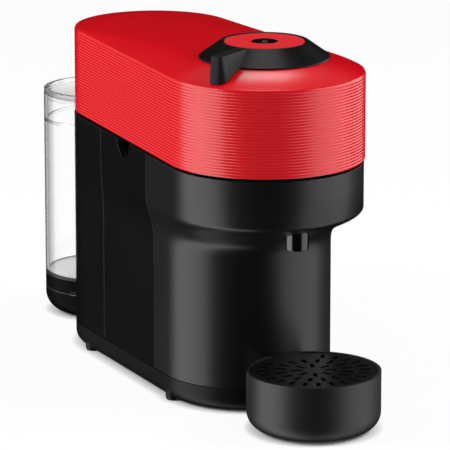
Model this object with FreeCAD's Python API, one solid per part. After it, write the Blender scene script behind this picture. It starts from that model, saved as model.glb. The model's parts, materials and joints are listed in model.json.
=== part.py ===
import FreeCAD, Part
import math
import os

# Pod coffee machine. Millimetres, +Z up, the front faces -Y.
# The origin lies under the middle of the whole machine, on the table.

V = FreeCAD.Vector

# Head cap: a tapered stadium in plan, with a ribbed wall and a crown that rises to the dial
head_front_r = 68.0
head_rear_r = 56.4
head_length = 171.7
cap_wall = 2.5
rib_count = 29
rib_pitch = 2.02
rib_depth = 0.5
edge_r = 1.2
crown_rise = 8.6
crown_side_turn = 40.0
dial_seat_r = 44.5
parting_gap = 2.0

# Lower body: a collar under the head that coves in to a narrower column
foot_h = 3.0
foot_r = 5.5
foot_out_front = 1.0
foot_out_rear = 1.4
fairing_w = 2.0
base_h = 13.7
base_round = 9.5
base_wall = 3.0
body_h = 151.7
body_inset = 0.8
body_wall = 2.5
column_front_r = 58.8
column_setback = 28.8
cove_drop = 31.4
cove_h = 19.5
cove_steps = 8
cove_lift = 2.2
lip_h = 2.0
lip_w = 8.0
front_seam = 50.4
rear_seam = 37.2
seam_gap = 0.4
scoop_r = 11.0
scoop_depth = 8.0
scoop_wall = 2.0
scoop_back = 92.0

# Clearances
run_gap = 0.3
slide_gap = 0.4
shaft_gap = 0.05
seat_gap = 0.02
table_gap = 0.4
sink = 0.5
hole_end = 1.0

# Lock dial, its lever and the button in its middle
dial_h = 11.0
dial_foot_r = 44.0
dial_rim_r = 30.3
dial_rim_round = 0.8
dial_wall = 2.5
dial_bore_r = 27.4
dial_skirt_r = 38.0
collar_h = 4.0
collar_w = 3.0
dial_rim_h = 3.5
lever_angle = -147.5
lever_w = 8.6
lever_tip_r = 65.2
lever_draft = 2.1
lever_lift = 0.5
lever_flare = 5.5
lever_round = 6.0
lever_edge = 1.2
disc_h = 2.4
disc_drop = 0.4
button_r = 9.0
button_proud = 0.3
button_edge = 0.6
button_h = 4.7
button_stem_r = 4.0
button_travel = 1.2
switch_room = 5.0
stem_room = 1.4

# Cup support
tray_r = 45.0
tray_reach = 73.3
tray_h = 39.8
tray_round = 12.0
tray_wall = 2.5
tray_fit = 0.6
grid_h = 2.2
grid_drop = 0.5
grid_gap = 0.7
ledge_w = 3.0
ledge_h = 2.2
slot_w = 3.0
slot_rings = 3
slot_count = 8
slot_len = 8.0
slot_web = 3.5
tongue_x = 14.0
tongue_w = 10.0
tongue_z = 22.0
tongue_h = 4.0
tongue_root = 9.0
tongue_end = 0.2

# Water tank and its dock
tank_r = 39.2
tank_gap = 1.2
tank_wall = 2.0
tank_h = 146.0
dock_base = 2.0
dock_h = 16.1
dock_round = 14.0
dock_wall = 2.5
dock_neck_w = 40.0
socket_r = 9.0
socket_wall = 1.6
seal_h = 1.0
seal_drop = 0.1
dock_pin_r = 2.0
dock_pin_drop = 0.8
neck_drop = 1.5
insert_h = 10.6
insert_plate = 3.0
floor_h = 2.0
bead_drop = 19.6
bead_r = 0.7
lid_h = 2.7
lid_skirt = 4.3
lid_sink = 3.0
lid_rim_w = 2.4
lid_taper = 1.5
lid_flare = 1.0
lid_draft = 0.2
lid_edge = 0.6
valve_r = 3.0
valve_head_r = 5.5
valve_head_h = 2.4
valve_gap = 0.5
valve_travel = 4.0

# Inner frame and what it carries
spine_fore = 45.0
spine_t = 4.0
spine_gap = 2.0
deck_t = 4.0
deck_drop = 8.4
deck_gap = 1.0
cover_t = 2.5
rail_h = 10.0
rail_w = 5.0
rail_drop = 17.4
rail_reach = 12.0
rail_gap = 2.3
rail_root = 8.0
leg_w = 10.0
leg_in = 20.0
leg_t = 8.0
leg_fore = 6.0
shelf_z = 64.0
shelf_t = 3.0
shelf_over = 4.0
cover_post_r = 4.0
cover_post_back = 8.0
cover_gap = 2.5
pad_x = 40.0
pad_w = 12.0
pad_len = 9.0
pad_h = 10.0
hinge_in = 13.4
hinge_up = 19.6
hinge_r = 7.0
hinge_w = 9.6
ear_w = 7.0
ear_gap = 0.4
hinge_gap = 1.0
notch_gap = 1.4
swing_gap = 1.6
pin_r = 3.0
pin_end = 0.5
screw_r = 1.5
screw_head_r = 3.3
screw_head_h = 1.6
screw_len = 9.0
cap_boss_r = 4.0
boss_in = 11.1
boss_back = 30.0
rear_boss_x = 40.0
rear_boss_back = 10.0

# Capsule spinner
chamber_r = 41.0
chamber_wall = 2.5
chamber_foot_r = 33.5
chamber_cone_h = 16.0
chamber_h = 32.5
cone_wall = 1.2
cone_step = 0.6
lug_half = 8.0
lug_in = 1.5
lug_edge = 2.0
spout_half = 5.0
spout_fore = 3.5
spout_root = 6.0
spout_h = 8.0
spout_gap = 2.0
spout_wall = 2.0
spout_bore_r = 2.0
hub_r = 12.0
hub_h = 19.0
holder_r = 29.0
holder_wall = 2.5
holder_rim_r = 36.0
holder_rim_h = 3.0
holder_floor_gap = 1.5
cup_rise = 1.5
shaft_up = 1.0
shaft_r = 5.0
bearing_r = 9.0
bearing_h = 12.0
bearing_up = 4.0
spindle_hub_up = 5.6
spindle_hub_w = 4.0
spindle_bearing_up = 2.0
flange_r = 30.0
flange_h = 4.0
flange_gap = 1.0
needle_r = 1.5
needle_tip_r = 0.4
needle_h = 8.0
bell_r = 42.5
bell_wall = 2.5
bell_h = 25.6
frame_t = 3.0
motor_r = 18.0
motor_h = 30.0
motor_back = 72.7
motor_shaft_r = 2.5
motor_nose_w = 3.5
motor_nose_h = 1.6
rotor_up = 10.0
spindle_pulley_r = 14.7
motor_pulley_r = 9.8
pulley_h = 6.0
pulley_room = 4.0
spindle_end = 2.0
rotor_end = 1.0
belt_t = 1.2
belt_up = 10.0
post_r = 3.0
post_ring_r = 31.0
post_angles = (-90.0, 20.0, 160.0)
bracket_t = 3.0
bracket_rim = 1.5
outlet_reach = 48.3
outlet_r = 8.0
outlet_bore_r = 5.0
outlet_z = 117.0
outlet_h = 19.0
outlet_flange = 2.0
outlet_lip = 2.0
outlet_edge = 1.0
outlet_boss = 3.0
bin_h = 81.5
bin_wall = 2.0
bin_gap = 0.6
bin_end = 4.0
runner_w = 6.0
runner_x = 30.0
runner_up = 1.5
runner_end = 2.0

# Water circuit and electrics
pump_r = 17.0
pump_len = 40.0
pump_up = 8.0
pump_gap = 24.0
cradle_w = 3.0
cradle_in = 6.0
cradle_drop = 2.0
nipple_r = 4.0
nipple_len = 10.0
hose_r = 3.0
hose_bend = 6.0
hose_up = 4.5
riser_gap = 1.0
hot_rise = 20.0
hot_fall = 14.0
block_w = 56.0
block_len = 50.0
block_h = 25.0
port_len = 4.0
union_in = 14.0
union_x = 14.0
union_h = 6.0
board_w = 72.0
board_h = 50.0
board_t = 1.6
standoff = 5.0
stud_r = 3.0
stud_in = 5.0
board_drop = 6.0
relay = (-16.0, 16.0, 16.0, 16.0, 12.0)
driver = (15.0, 17.0, 22.0, 10.0, 6.0)
capacitor_r = 5.0
capacitor_h = 14.0
capacitor_x = 18.0
capacitor_z = 38.0
gland_r = 8.0
gland_bore_r = 3.2
gland_len = 8.0
gland_up = 15.0
gland_turn = 45.0
gland_lip = 2.0
gland_out = 0.8

# Places along Y
tank_back = head_length + head_rear_r + tank_gap + tank_r
depth = tray_reach + tray_r + tank_back + tank_r
dial_y = tray_reach + tray_r - depth / 2
rear_y = dial_y + head_length
column_y = dial_y + column_setback
tray_y = dial_y - tray_reach
tank_y = dial_y + tank_back
outlet_y = dial_y - outlet_reach
front_seam_y = dial_y + front_seam
rear_seam_y = rear_y - rear_seam
scoop_y = dial_y + scoop_back
spine_y = rear_y - spine_fore
motor_y = dial_y + motor_back
hinge_y = rear_y + head_rear_r - hinge_in
leg_y = hinge_y - leg_fore

# Levels
seam_z = foot_h + base_h
floor_z = foot_h + base_wall
body_top = seam_z + body_h
cap_z = body_top + parting_gap
crown_lean = math.atan2(crown_rise, head_front_r - rib_depth - dial_seat_r)
edge_turn = math.pi / 2 - crown_lean
ribs_top = cap_z + rib_count * rib_pitch
edge_z = ribs_top + edge_r * math.sin(edge_turn)
edge_in = rib_depth + edge_r * (1 - math.cos(edge_turn))
seat_z = edge_z + crown_rise
dial_z = seat_z + run_gap
dial_top = dial_z + dial_h
hinge_z = cap_z + hinge_up
lip_z = body_top - lip_h
cover_z = lip_z - slide_gap - cover_t
deck_z = body_top - deck_drop - deck_t
rail_z = body_top - rail_drop - rail_h
cove_high = body_top - cove_drop
cove_low = cove_high - cove_h
chamber_z = cover_z - chamber_h
cup_top = cover_z + cup_rise
frame_z = cap_z
spindle_hub_z = frame_z + spindle_hub_up
bell_top = frame_z + bell_h
belt_z = bell_top + belt_up
plate_z = belt_z + pulley_h + pulley_room
dock_top = dock_base + dock_h
seal_z = dock_top - seal_drop - seal_h
vessel_z = dock_top + slide_gap
vessel_top = vessel_z + tank_h
shelf_top = shelf_z + shelf_t
runner_top = seam_z + runner_up

# Plan radii that follow from the rest
column_rear_r = head_rear_r - body_inset
collar_front_r = head_front_r - body_inset
inner_half = column_rear_r - body_wall
rail_out = column_front_r - body_wall - rail_gap
rail_in = rail_out - rail_w
far = 2 * depth


def box(x0, x1, y0, y1, z0, z1):
    return Part.makeBox(x1 - x0, y1 - y0, z1 - z0, V(x0, y0, z0))


def rod(r, z0, z1, y=0.0, x=0.0):
    return Part.makeCylinder(r, z1 - z0, V(x, y, z0))


def rod_x(r, x0, x1, y, z):
    return Part.makeCylinder(r, x1 - x0, V(x0, y, z), V(1, 0, 0))


def rod_y(r, y0, y1, x, z):
    return Part.makeCylinder(r, y1 - y0, V(x, y0, z), V(0, 1, 0))


def ring(r_out, r_in, z0, z1, y=0.0, x=0.0):
    return rod(r_out, z0, z1, y, x).cut(rod(r_in, z0, z1, y, x))


def turned(points, y):
    corners = [V(r, y, z) for r, z in points]
    face = Part.Face(Part.makePolygon(corners + corners[:1]))
    return face.revolve(V(0, y, 0), V(0, 0, 1), 360)


def joined(first, *others):
    return first.fuse(list(others)).removeSplitter()


def mirrored(shape):
    return shape.mirror(V(0, 0, 0), V(1, 0, 0))


def stadium(front_y, front_r, back_y, back_r, z):
    lean = (front_r - back_r) / (back_y - front_y)
    spread = math.sqrt(1 - lean ** 2)

    def point(y, r, side):
        return V(side * r * spread, y + r * lean, z)

    front = Part.Arc(point(front_y, front_r, -1), V(0, front_y - front_r, z), point(front_y, front_r, 1))
    right = Part.LineSegment(point(front_y, front_r, 1), point(back_y, back_r, 1))
    back = Part.Arc(point(back_y, back_r, 1), V(0, back_y + back_r, z), point(back_y, back_r, -1))
    left = Part.LineSegment(point(back_y, back_r, -1), point(front_y, front_r, -1))
    return Part.Wire([edge.toShape() for edge in (front, right, back, left)])


def cap_line(z, inset):
    return stadium(dial_y, head_front_r - inset, rear_y, head_rear_r - inset, z)


def collar_line(z, inset):
    return cap_line(z, body_inset + inset)


def column_line(z, inset):
    return stadium(column_y, column_front_r - inset, rear_y, column_rear_r - inset, z)


def cove_line(z, inset, share):
    y = dial_y + column_setback * share
    r = collar_front_r + (column_front_r - collar_front_r) * share
    return stadium(y, r - inset, rear_y, column_rear_r - inset, z)


def cap_half_width(y):
    lean = (head_front_r - head_rear_r) / head_length
    return (head_front_r - lean * (y - dial_y)) / math.sqrt(1 - lean ** 2)


def collar_half_width(y):
    lean = (collar_front_r - column_rear_r) / head_length
    return (collar_front_r - lean * (y - dial_y)) / math.sqrt(1 - lean ** 2)


def prism(wire, height):
    return Part.Face(wire).extrude(V(0, 0, height))


def rounded_below(wire, height, radius):
    block = prism(wire, height)
    low = block.BoundBox.ZMin
    edges = [edge for edge in block.Edges if edge.BoundBox.ZMax < low + radius / 2]
    return block.makeFillet(radius, edges)


def hose(points):
    edges = []
    here = points[0]
    for before, corner, after in zip(points, points[1:], points[2:]):
        back = (before - corner).normalize()
        on = (after - corner).normalize()
        half = back.getAngle(on) / 2
        start = corner + back * (hose_bend / math.tan(half))
        end = corner + on * (hose_bend / math.tan(half))
        middle = corner + (back + on).normalize() * (hose_bend / math.sin(half) - hose_bend)
        edges.append(Part.LineSegment(here, start).toShape())
        edges.append(Part.Arc(start, middle, end).toShape())
        here = end
    edges.append(Part.LineSegment(here, points[-1]).toShape())
    start_ring = Part.Wire(Part.makeCircle(hose_r, points[0], points[1] - points[0]))
    return Part.Wire(edges).makePipeShell([start_ring], True, True)


def crown(lift):
    lean = (head_front_r - head_rear_r) / head_length
    first = math.degrees(math.asin(lean))

    def on_seat(angle):
        turn = math.radians(angle)
        return V(dial_seat_r * math.cos(turn), dial_y + dial_seat_r * math.sin(turn), seat_z + lift)

    def seat_arc(start, end):
        return Part.Arc(on_seat(start), on_seat((start + end) / 2), on_seat(end)).toShape()

    stops = (-180 - first, first, first + crown_side_turn, 180 - first - crown_side_turn, 180 - first)
    seat = Part.Wire([seat_arc(a, b) for a, b in zip(stops, stops[1:])])
    return Part.makeLoft([cap_line(edge_z + lift, edge_in), seat], True, True)


# Places of the screws that hold the cap to the head frame, and the frame to the base
def both_sides(*places):
    return [(side * x, y) for x, y in places for side in (-1, 1)]


front_boss_y = dial_y + boss_back
cap_boss_places = both_sides((cap_half_width(front_boss_y) - boss_in, front_boss_y),
                             (rear_boss_x, rear_y + rear_boss_back))
base_screw_places = both_sides((pad_x, spine_y + spine_t + pad_len / 2), (leg_in + leg_w / 2, leg_y + leg_t / 2))


def screws(places, head_z):
    group = []
    for x, y in places:
        head = rod(screw_head_r, head_z, head_z + screw_head_h, y, x)
        shank = rod(screw_r, head_z + screw_head_h, head_z + screw_head_h + screw_len, y, x)
        group.append(joined(head, shank))
    return Part.makeCompound(group)


def screw_holes(places, head_z):
    group = []
    for x, y in places:
        group.append(rod(screw_head_r + slide_gap, head_z, head_z + screw_head_h, y, x))
        group.append(rod(screw_r + shaft_gap, head_z, head_z + screw_head_h + screw_len + hole_end, y, x))
    return group


def head_cap():
    rows = []
    foot = V(0, dial_y - head_front_r + rib_depth, cap_z)
    start = foot
    for i in range(rib_count):
        end = foot + V(0, 0, rib_pitch * (i + 1))
        crest = (start + end) * 0.5 - V(0, rib_depth, 0)
        rows.append(Part.Arc(start, crest, end).toShape())
        start = end
    middle = V(0, start.y + edge_r, ribs_top)

    def on_edge(turn):
        return middle + V(0, -edge_r * math.cos(turn), edge_r * math.sin(turn))

    rows.append(Part.Arc(start, on_edge(edge_turn / 2), on_edge(edge_turn)).toShape())
    inside = dial_y - head_front_r + cap_wall
    corners = [on_edge(edge_turn), V(0, inside, edge_z), V(0, inside, cap_z), foot]
    rows += [Part.LineSegment(a, b).toShape() for a, b in zip(corners, corners[1:])]
    wall = cap_line(cap_z, 0).makePipe(Part.Face(Part.Wire(rows)))
    top = crown(0).cut(crown(-cap_wall)).cut(rod(dial_skirt_r + slide_gap, cap_z, dial_top, dial_y))
    hull = prism(cap_line(cap_z, cap_wall / 2), edge_z - cap_z).fuse(crown(0))
    bosses = [rod(cap_boss_r, frame_z + frame_t, seat_z, y, x).common(hull) for x, y in cap_boss_places]
    cap = joined(wall, top, *bosses)
    half = hinge_w + notch_gap
    notch = box(-half, half, hinge_y, far, cap_z, hinge_z + hinge_gap)
    relief = box(-far, far, hinge_y, far, cap_z - hole_end, hinge_z)
    relief = relief.cut(rod_x(hinge_up + swing_gap, -far, far, hinge_y, hinge_z))
    return cap.cut([notch, relief] + screw_holes(cap_boss_places, frame_z))


def head_frame():
    plate = prism(cap_line(frame_z, cap_wall + seat_gap + rib_depth), frame_t)
    plate = plate.cut(rod(bell_r - bell_wall, frame_z, frame_z + frame_t, dial_y))
    bell = ring(bell_r, bell_r - bell_wall, frame_z, bell_top, dial_y)
    roof = ring(bell_r, bearing_r, bell_top - frame_t, bell_top, dial_y)
    hub = ring(bearing_r + spindle_hub_w, bearing_r, spindle_hub_z, bell_top, dial_y)
    half = hinge_w + ear_gap
    slot = box(-half, half, hinge_y - hinge_r - hinge_gap, far, frame_z, frame_z + frame_t)
    ears = []
    for x0 in (-half - ear_w, half):
        web = box(x0, x0 + ear_w, hinge_y - hinge_r, hinge_y + hinge_r, frame_z, hinge_z)
        ears.append(web.fuse(rod_x(hinge_r, x0, x0 + ear_w, hinge_y, hinge_z)))
    frame = joined(plate.cut(slot), bell, roof, hub, *ears)
    bore = rod_x(pin_r + shaft_gap, -far, far, hinge_y, hinge_z)
    return frame.cut([bore] + screw_holes(cap_boss_places, frame_z))


def lock_dial():
    flank = (dial_foot_r - dial_rim_r) / (dial_h - dial_rim_round)
    under = dial_z + (dial_foot_r - dial_skirt_r + dial_wall) / flank - dial_wall * 1.25
    rim_under = dial_top - dial_rim_h
    skirt_in = dial_skirt_r - dial_wall
    skirt_z = seat_z - cap_wall - run_gap - collar_h
    return turned([
        (dial_foot_r, dial_z),
        (dial_foot_r, dial_z + dial_rim_round),
        (dial_rim_r, dial_top - dial_rim_round),
        (dial_rim_r - dial_rim_round, dial_top),
        (dial_bore_r + dial_rim_round, dial_top),
        (dial_bore_r, dial_top - dial_rim_round),
        (dial_bore_r, rim_under),
        (dial_bore_r + dial_wall, rim_under),
        (skirt_in, under),
        (skirt_in, skirt_z),
        (dial_skirt_r, skirt_z),
        (dial_skirt_r, dial_z),
    ], dial_y)


def lock_lever():
    fall = crown_rise / (head_front_r - edge_in - dial_seat_r)

    def over_crown(r):
        return edge_z + lever_lift + (head_front_r - edge_in - r) * fall

    low = over_crown(lever_tip_r)
    half = lever_w / 2
    wide = half + lever_flare
    root = dial_rim_r - dial_rim_round

    def slab(edges, reach):
        return Part.Face(Part.Wire([edge.toShape() for edge in edges])).extrude(reach)

    def lines(points):
        return [Part.LineSegment(a, b) for a, b in zip(points, points[1:])]

    # Seen from the side: a level top, a steep tip and a foot that follows the crown
    side = [V(r, dial_y - wide, z) for r, z in (
        (root, over_crown(root)), (root, dial_top), (lever_tip_r - lever_draft, dial_top),
        (lever_tip_r, low), (root, over_crown(root)))]
    blade = slab(lines(side), V(0, 2 * wide, 0))

    # Seen from the tip: one upright flank and one that curves out towards its foot
    fall_h = dial_top - lever_edge - low
    bow_r = (fall_h ** 2 + lever_flare ** 2) / (2 * lever_flare)
    bow_mid = bow_r - math.sqrt(bow_r ** 2 - fall_h ** 2 / 4)

    def across(t, z):
        return V(root, dial_y + t, z)

    corner = lever_edge * (1 - math.sqrt(0.5))
    shoulder = dial_top - lever_edge
    section = [
        Part.LineSegment(across(-half, low), across(-half, shoulder)),
        Part.Arc(across(-half, shoulder), across(corner - half, dial_top - corner),
                 across(lever_edge - half, dial_top)),
        Part.LineSegment(across(lever_edge - half, dial_top), across(half - lever_edge, dial_top)),
        Part.Arc(across(half - lever_edge, dial_top), across(half - corner, dial_top - corner),
                 across(half, shoulder)),
        Part.Arc(across(half, shoulder), across(half + bow_mid, shoulder - fall_h / 2), across(wide, low)),
        Part.LineSegment(across(wide, low), across(-half, low)),
    ]
    blade = blade.common(slab(section, V(lever_tip_r, 0, 0)))

    # Seen from above: the outer corner on the curved flank is round
    def above(r, t):
        return V(r, dial_y + t, low)

    bend = lever_round * (1 - math.sqrt(0.5))
    outline = lines([above(lever_tip_r, wide - lever_round), above(lever_tip_r, -half), above(root, -half),
                     above(root, wide), above(lever_tip_r - lever_round, wide)])
    outline.append(Part.Arc(above(lever_tip_r - lever_round, wide), above(lever_tip_r - bend, wide - bend),
                            above(lever_tip_r, wide - lever_round)))
    blade = blade.common(slab(outline, V(0, 0, dial_top - low)))
    below = turned([(0, dial_z - dial_h), (dial_foot_r, dial_z - dial_h), (dial_foot_r, dial_z + dial_rim_round),
                    (dial_rim_r, dial_top - dial_rim_round), (root, dial_top), (0, dial_top)], dial_y)
    blade = blade.cut(below)
    blade.rotate(V(0, dial_y, 0), V(0, 0, 1), lever_angle)
    return blade


def lock_collar():
    top = seat_z - cap_wall - run_gap
    return ring(dial_skirt_r + collar_w, dial_skirt_r + shaft_gap, top - collar_h, top, dial_y)


disc_top = dial_top - disc_drop
stem_low = plate_z + bracket_t + switch_room
switch_h = stem_low - plate_z - bracket_t - button_travel - run_gap


def dial_disc():
    return ring(dial_bore_r - slide_gap, button_r + run_gap, disc_top - disc_h, disc_top, dial_y)


def button_bracket():
    base = plate_z + bracket_t
    plate = rod(post_ring_r + post_r + bracket_rim, plate_z, base, dial_y)
    tube_r = dial_bore_r - slide_gap - dial_wall
    tube = ring(tube_r, tube_r - dial_wall, base, disc_top - disc_h, dial_y)
    guide = ring(button_stem_r * 2, button_stem_r + shaft_gap, base, base + 3 * button_stem_r + switch_room, dial_y)
    guide = guide.cut(rod(button_stem_r + stem_room, base, stem_low, dial_y))
    posts = []
    for angle in post_angles:
        turn = math.radians(angle)
        y = dial_y + post_ring_r * math.sin(turn)
        posts.append(rod(post_r, bell_top, plate_z, y, post_ring_r * math.cos(turn)))
    return joined(plate, tube, guide, *posts)


def button_switch():
    half = button_stem_r * 0.75
    base = plate_z + bracket_t
    case = box(-half, half, dial_y - half, dial_y + half, base, base + switch_h * 0.7)
    return joined(case, rod(half * 0.6, base, base + switch_h, dial_y))


def brew_button():
    top = disc_top + button_proud
    cap = rod(button_r, top - button_h, top, dial_y)
    edge = [e for e in cap.Edges if e.BoundBox.ZMin > top - button_h / 2]
    cap = cap.makeFillet(button_edge, edge)
    return joined(cap, rod(button_stem_r, stem_low, top - button_h, dial_y))


def clamp_flange():
    low = cup_top + flange_gap
    disc = rod(flange_r, low, low + flange_h, dial_y)
    shaft = rod(shaft_r, low + flange_h, belt_z + pulley_h + spindle_end, dial_y)
    return joined(disc, shaft)


def injection_needle():
    top = cup_top + flange_gap
    shoulder = top - needle_h + needle_r * 2
    tip = Part.makeCone(needle_r, needle_tip_r, needle_r * 2, V(0, dial_y, shoulder), V(0, 0, -1))
    return joined(tip, rod(needle_r, shoulder, top, dial_y))


def spindle_pulley():
    return ring(spindle_pulley_r, shaft_r + seat_gap, belt_z, belt_z + pulley_h, dial_y)


def spindle_bearing():
    low = spindle_hub_z + spindle_bearing_up
    return ring(bearing_r - seat_gap, shaft_r + shaft_gap, low, low + bearing_h, dial_y)


def drive_motor():
    low = frame_z + frame_t
    can = rod(motor_r, low, low + motor_h, motor_y)
    nose = rod(motor_shaft_r + motor_nose_w, low + motor_h, low + motor_h + motor_nose_h, motor_y)
    bore = rod(motor_shaft_r + shaft_gap, low + rotor_up, low + motor_h + motor_nose_h + hole_end, motor_y)
    return joined(can, nose).cut(bore)


def motor_rotor():
    low = frame_z + frame_t + rotor_up + run_gap
    shaft = rod(motor_shaft_r, low, belt_z + pulley_h + rotor_end, motor_y)
    return joined(shaft, rod(motor_pulley_r, belt_z, belt_z + pulley_h, motor_y))


def drive_belt():
    inside = run_gap
    outside = run_gap + belt_t
    loop = prism(stadium(dial_y, spindle_pulley_r + outside, motor_y, motor_pulley_r + outside, belt_z), pulley_h)
    hole = prism(stadium(dial_y, spindle_pulley_r + inside, motor_y, motor_pulley_r + inside, belt_z), pulley_h)
    return loop.cut(hole)


def body_core(low, high, inset, lift):
    start = cove_low + lift
    end = cove_high + lift
    sections = []
    for i in range(cove_steps + 1):
        t = i / cove_steps
        sections.append(cove_line(start + cove_h * t, inset, 1 - t * t * (3 - 2 * t)))
    cove = Part.makeLoft(sections, True, False)
    column = prism(column_line(low, inset), start - low)
    collar = prism(collar_line(end, inset), high - end)
    return column.fuse([cove, collar])


body_outer = body_core(seam_z, body_top, 0, 0)
body_inner = body_core(seam_z, lip_z, body_wall, cove_lift).fuse(
    prism(collar_line(lip_z, body_wall + lip_w), lip_h))
slot_half = hinge_w + slide_gap
slot_y = hinge_y - hinge_r - hinge_gap
hinge_slot = box(-slot_half, slot_half, slot_y, hinge_y + hinge_r + hinge_gap, lip_z, body_top)
body_shell = body_outer.cut(body_inner).cut(hinge_slot)


def front_housing():
    front = body_shell.common(box(-far, far, -far, front_seam_y - seam_gap / 2, seam_z + run_gap, far))
    boss = rod(outlet_r + outlet_boss, cove_low, outlet_z + outlet_h, outlet_y).common(body_outer)
    front = joined(front, boss).cut(rod(outlet_r + shaft_gap, outlet_z, outlet_z + outlet_h + hole_end, outlet_y))
    for side in (-1, 1):
        x = side * tongue_x
        half = tongue_w / 2 + slide_gap
        front = front.cut(box(x - half, x + half, -far, column_y, tongue_z - slide_gap,
                              tongue_z + tongue_h + slide_gap))
    return front


def side_panel(side):
    edge_x = collar_half_width(scoop_y)
    reach = box(0, far, front_seam_y + seam_gap / 2, rear_seam_y - seam_gap / 2, seam_z, far)
    panel = body_shell.common(reach)
    cup_in = edge_x - scoop_depth
    boss = rod_x(scoop_r + scoop_wall, cup_in - scoop_wall, edge_x, scoop_y, body_top).common(body_outer)
    pocket = rod_x(scoop_r, cup_in, far, scoop_y, body_top)
    panel = joined(panel, boss).cut(pocket)
    return panel if side > 0 else mirrored(panel)


def rear_shell():
    shell = body_shell.common(box(-far, far, rear_seam_y + seam_gap / 2, far, seam_z, far))
    return shell.cut(gland_bore())


def top_cover():
    inset = body_wall + 2 * slide_gap
    plate = prism(collar_line(cover_z, inset), cover_t)
    mouth = collar_half_width(front_seam_y) - body_wall - slide_gap
    sides = [box(mouth, far, -far, front_seam_y + hole_end, cover_z, lip_z)]
    scoop_in = collar_half_width(scoop_y) - scoop_depth - scoop_wall - slide_gap
    half = scoop_r + scoop_wall + slide_gap
    sides.append(box(scoop_in, far, scoop_y - half, scoop_y + half, cover_z, lip_z))
    holes = sides + [mirrored(s) for s in sides]
    holes.append(rod(holder_rim_r + cover_gap, cover_z, lip_z, dial_y))
    holes.append(box(-slot_half, slot_half, slot_y, far, cover_z, lip_z))
    return plate.cut(holes)


def base_core(inset, low, radius):
    return rounded_below(column_line(low, inset), seam_z - low, radius)


base_outer = base_core(0, foot_h, base_round)
foot_x_front = column_front_r - foot_r + foot_out_front
foot_x_rear = column_rear_r - foot_r + foot_out_rear
foot_places = both_sides((foot_x_front, column_y), (foot_x_rear, rear_y - foot_r))
dock_foot_y = tank_y + foot_r * 2


def base_plate():
    tray = base_outer.cut(base_core(base_wall, floor_z, base_round - base_wall))
    fairings = [Part.makeCone(foot_r, foot_r + fairing_w, base_h, V(x, y, foot_h)) for x, y in foot_places]
    inside = base_core(base_wall, floor_z, base_round - base_wall)
    outline = prism(column_line(foot_h, 0), base_h)
    fairings = [f.common(outline).cut(inside) for f in fairings]
    runners = []
    for x in (-runner_x, runner_x):
        runners.append(box(x - runner_w / 2, x + runner_w / 2, column_y, spine_y - runner_end,
                           floor_z - sink, runner_top))
    plate = joined(tray, *fairings, *runners)
    return plate.cut([hose_bore()] + screw_holes(base_screw_places, foot_h))


def rubber_feet():
    feet = [rod(foot_r, 0, foot_h, y, x) for x, y in foot_places]
    feet.append(rod(foot_r, 0, dock_base, dock_foot_y))
    return Part.makeCompound(feet)


hose_z = floor_z + hose_up
pump_z = floor_z + pump_up + pump_r
pump_y0 = spine_y + spine_t + pump_gap
pump_y1 = pump_y0 + pump_len


def hose_bore():
    return rod_y(hose_r + slide_gap, leg_y, tank_y - socket_r + socket_wall, 0, hose_z)


def tank_dock():
    bowl = rod(tank_r, dock_base, dock_top, tank_y)
    low = [e for e in bowl.Edges if e.BoundBox.ZMax < dock_base + dock_round / 2]
    bowl = bowl.makeFillet(dock_round, low)
    floor = dock_base + dock_wall
    hollow = rod(tank_r - dock_wall, floor, dock_top + hole_end, tank_y)
    low = [e for e in hollow.Edges if e.BoundBox.ZMax < floor + hole_end]
    hollow = hollow.makeFillet(dock_round - dock_wall, low)
    half = dock_neck_w / 2
    neck = box(-half, half, rear_y, tank_y, floor_z - neck_drop, dock_top - dock_wall)
    neck = neck.cut([base_outer, hollow])
    neck = neck.cut(prism(column_line(seam_z, -seam_gap), far))
    neck = max(neck.Solids, key=lambda s: s.Volume)
    socket = ring(socket_r, socket_r - socket_wall, floor - sink, seal_z, tank_y)
    pin = rod(dock_pin_r, floor - sink, dock_top - dock_pin_drop, tank_y)
    return joined(bowl.cut(hollow), neck, socket, pin).cut(hose_bore())


def dock_seal():
    return ring(socket_r, socket_r - socket_wall, seal_z, seal_z + seal_h, tank_y)


def tank_vessel():
    wall = ring(tank_r, tank_r - tank_wall, vessel_z, vessel_top, tank_y)
    bead_z = vessel_top - bead_drop
    bead_at = V(tank_r - tank_wall, tank_y, bead_z)
    bead = Part.Face(Part.Wire(Part.makeCircle(bead_r, bead_at, V(0, 1, 0))))
    bead = bead.revolve(V(0, tank_y, 0), V(0, 0, 1), 360)
    return joined(wall, bead)


insert_r = tank_r - tank_wall - 2 * seat_gap
insert_z = dock_top + run_gap
insert_top = insert_z + insert_h


def tank_base():
    wall = ring(insert_r, insert_r - insert_plate, insert_z, insert_top, tank_y)
    plate = rod(insert_r, insert_top - insert_plate, insert_top, tank_y)
    boss = rod(socket_r - socket_wall - slide_gap, insert_z, insert_top, tank_y)
    return joined(wall, plate, boss).cut(rod(valve_r + shaft_gap, insert_z, insert_top, tank_y))


def tank_floor():
    return ring(insert_r, valve_head_r + valve_gap, insert_top, insert_top + floor_h, tank_y)


def tank_valve():
    head_z = insert_top + valve_travel + run_gap
    stem = rod(valve_r, dock_top - dock_pin_drop + run_gap, head_z, tank_y)
    return joined(stem, rod(valve_head_r, head_z, head_z + valve_head_h, tank_y))


def tank_lid():
    rim = vessel_top + run_gap
    top = rim + lid_h
    skirt = tank_r - tank_wall - run_gap
    sunk = skirt - lid_rim_w
    return turned([
        (0, top - lid_sink - tank_wall),
        (sunk - lid_taper, top - lid_sink - tank_wall),
        (sunk, rim - lid_skirt),
        (skirt, rim - lid_skirt),
        (skirt, rim),
        (tank_r, rim),
        (tank_r, top - lid_edge),
        (tank_r - lid_edge, top),
        (sunk + lid_flare, top),
        (sunk - lid_draft, top - lid_sink),
        (0, top - lid_sink),
    ], tank_y)


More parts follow.
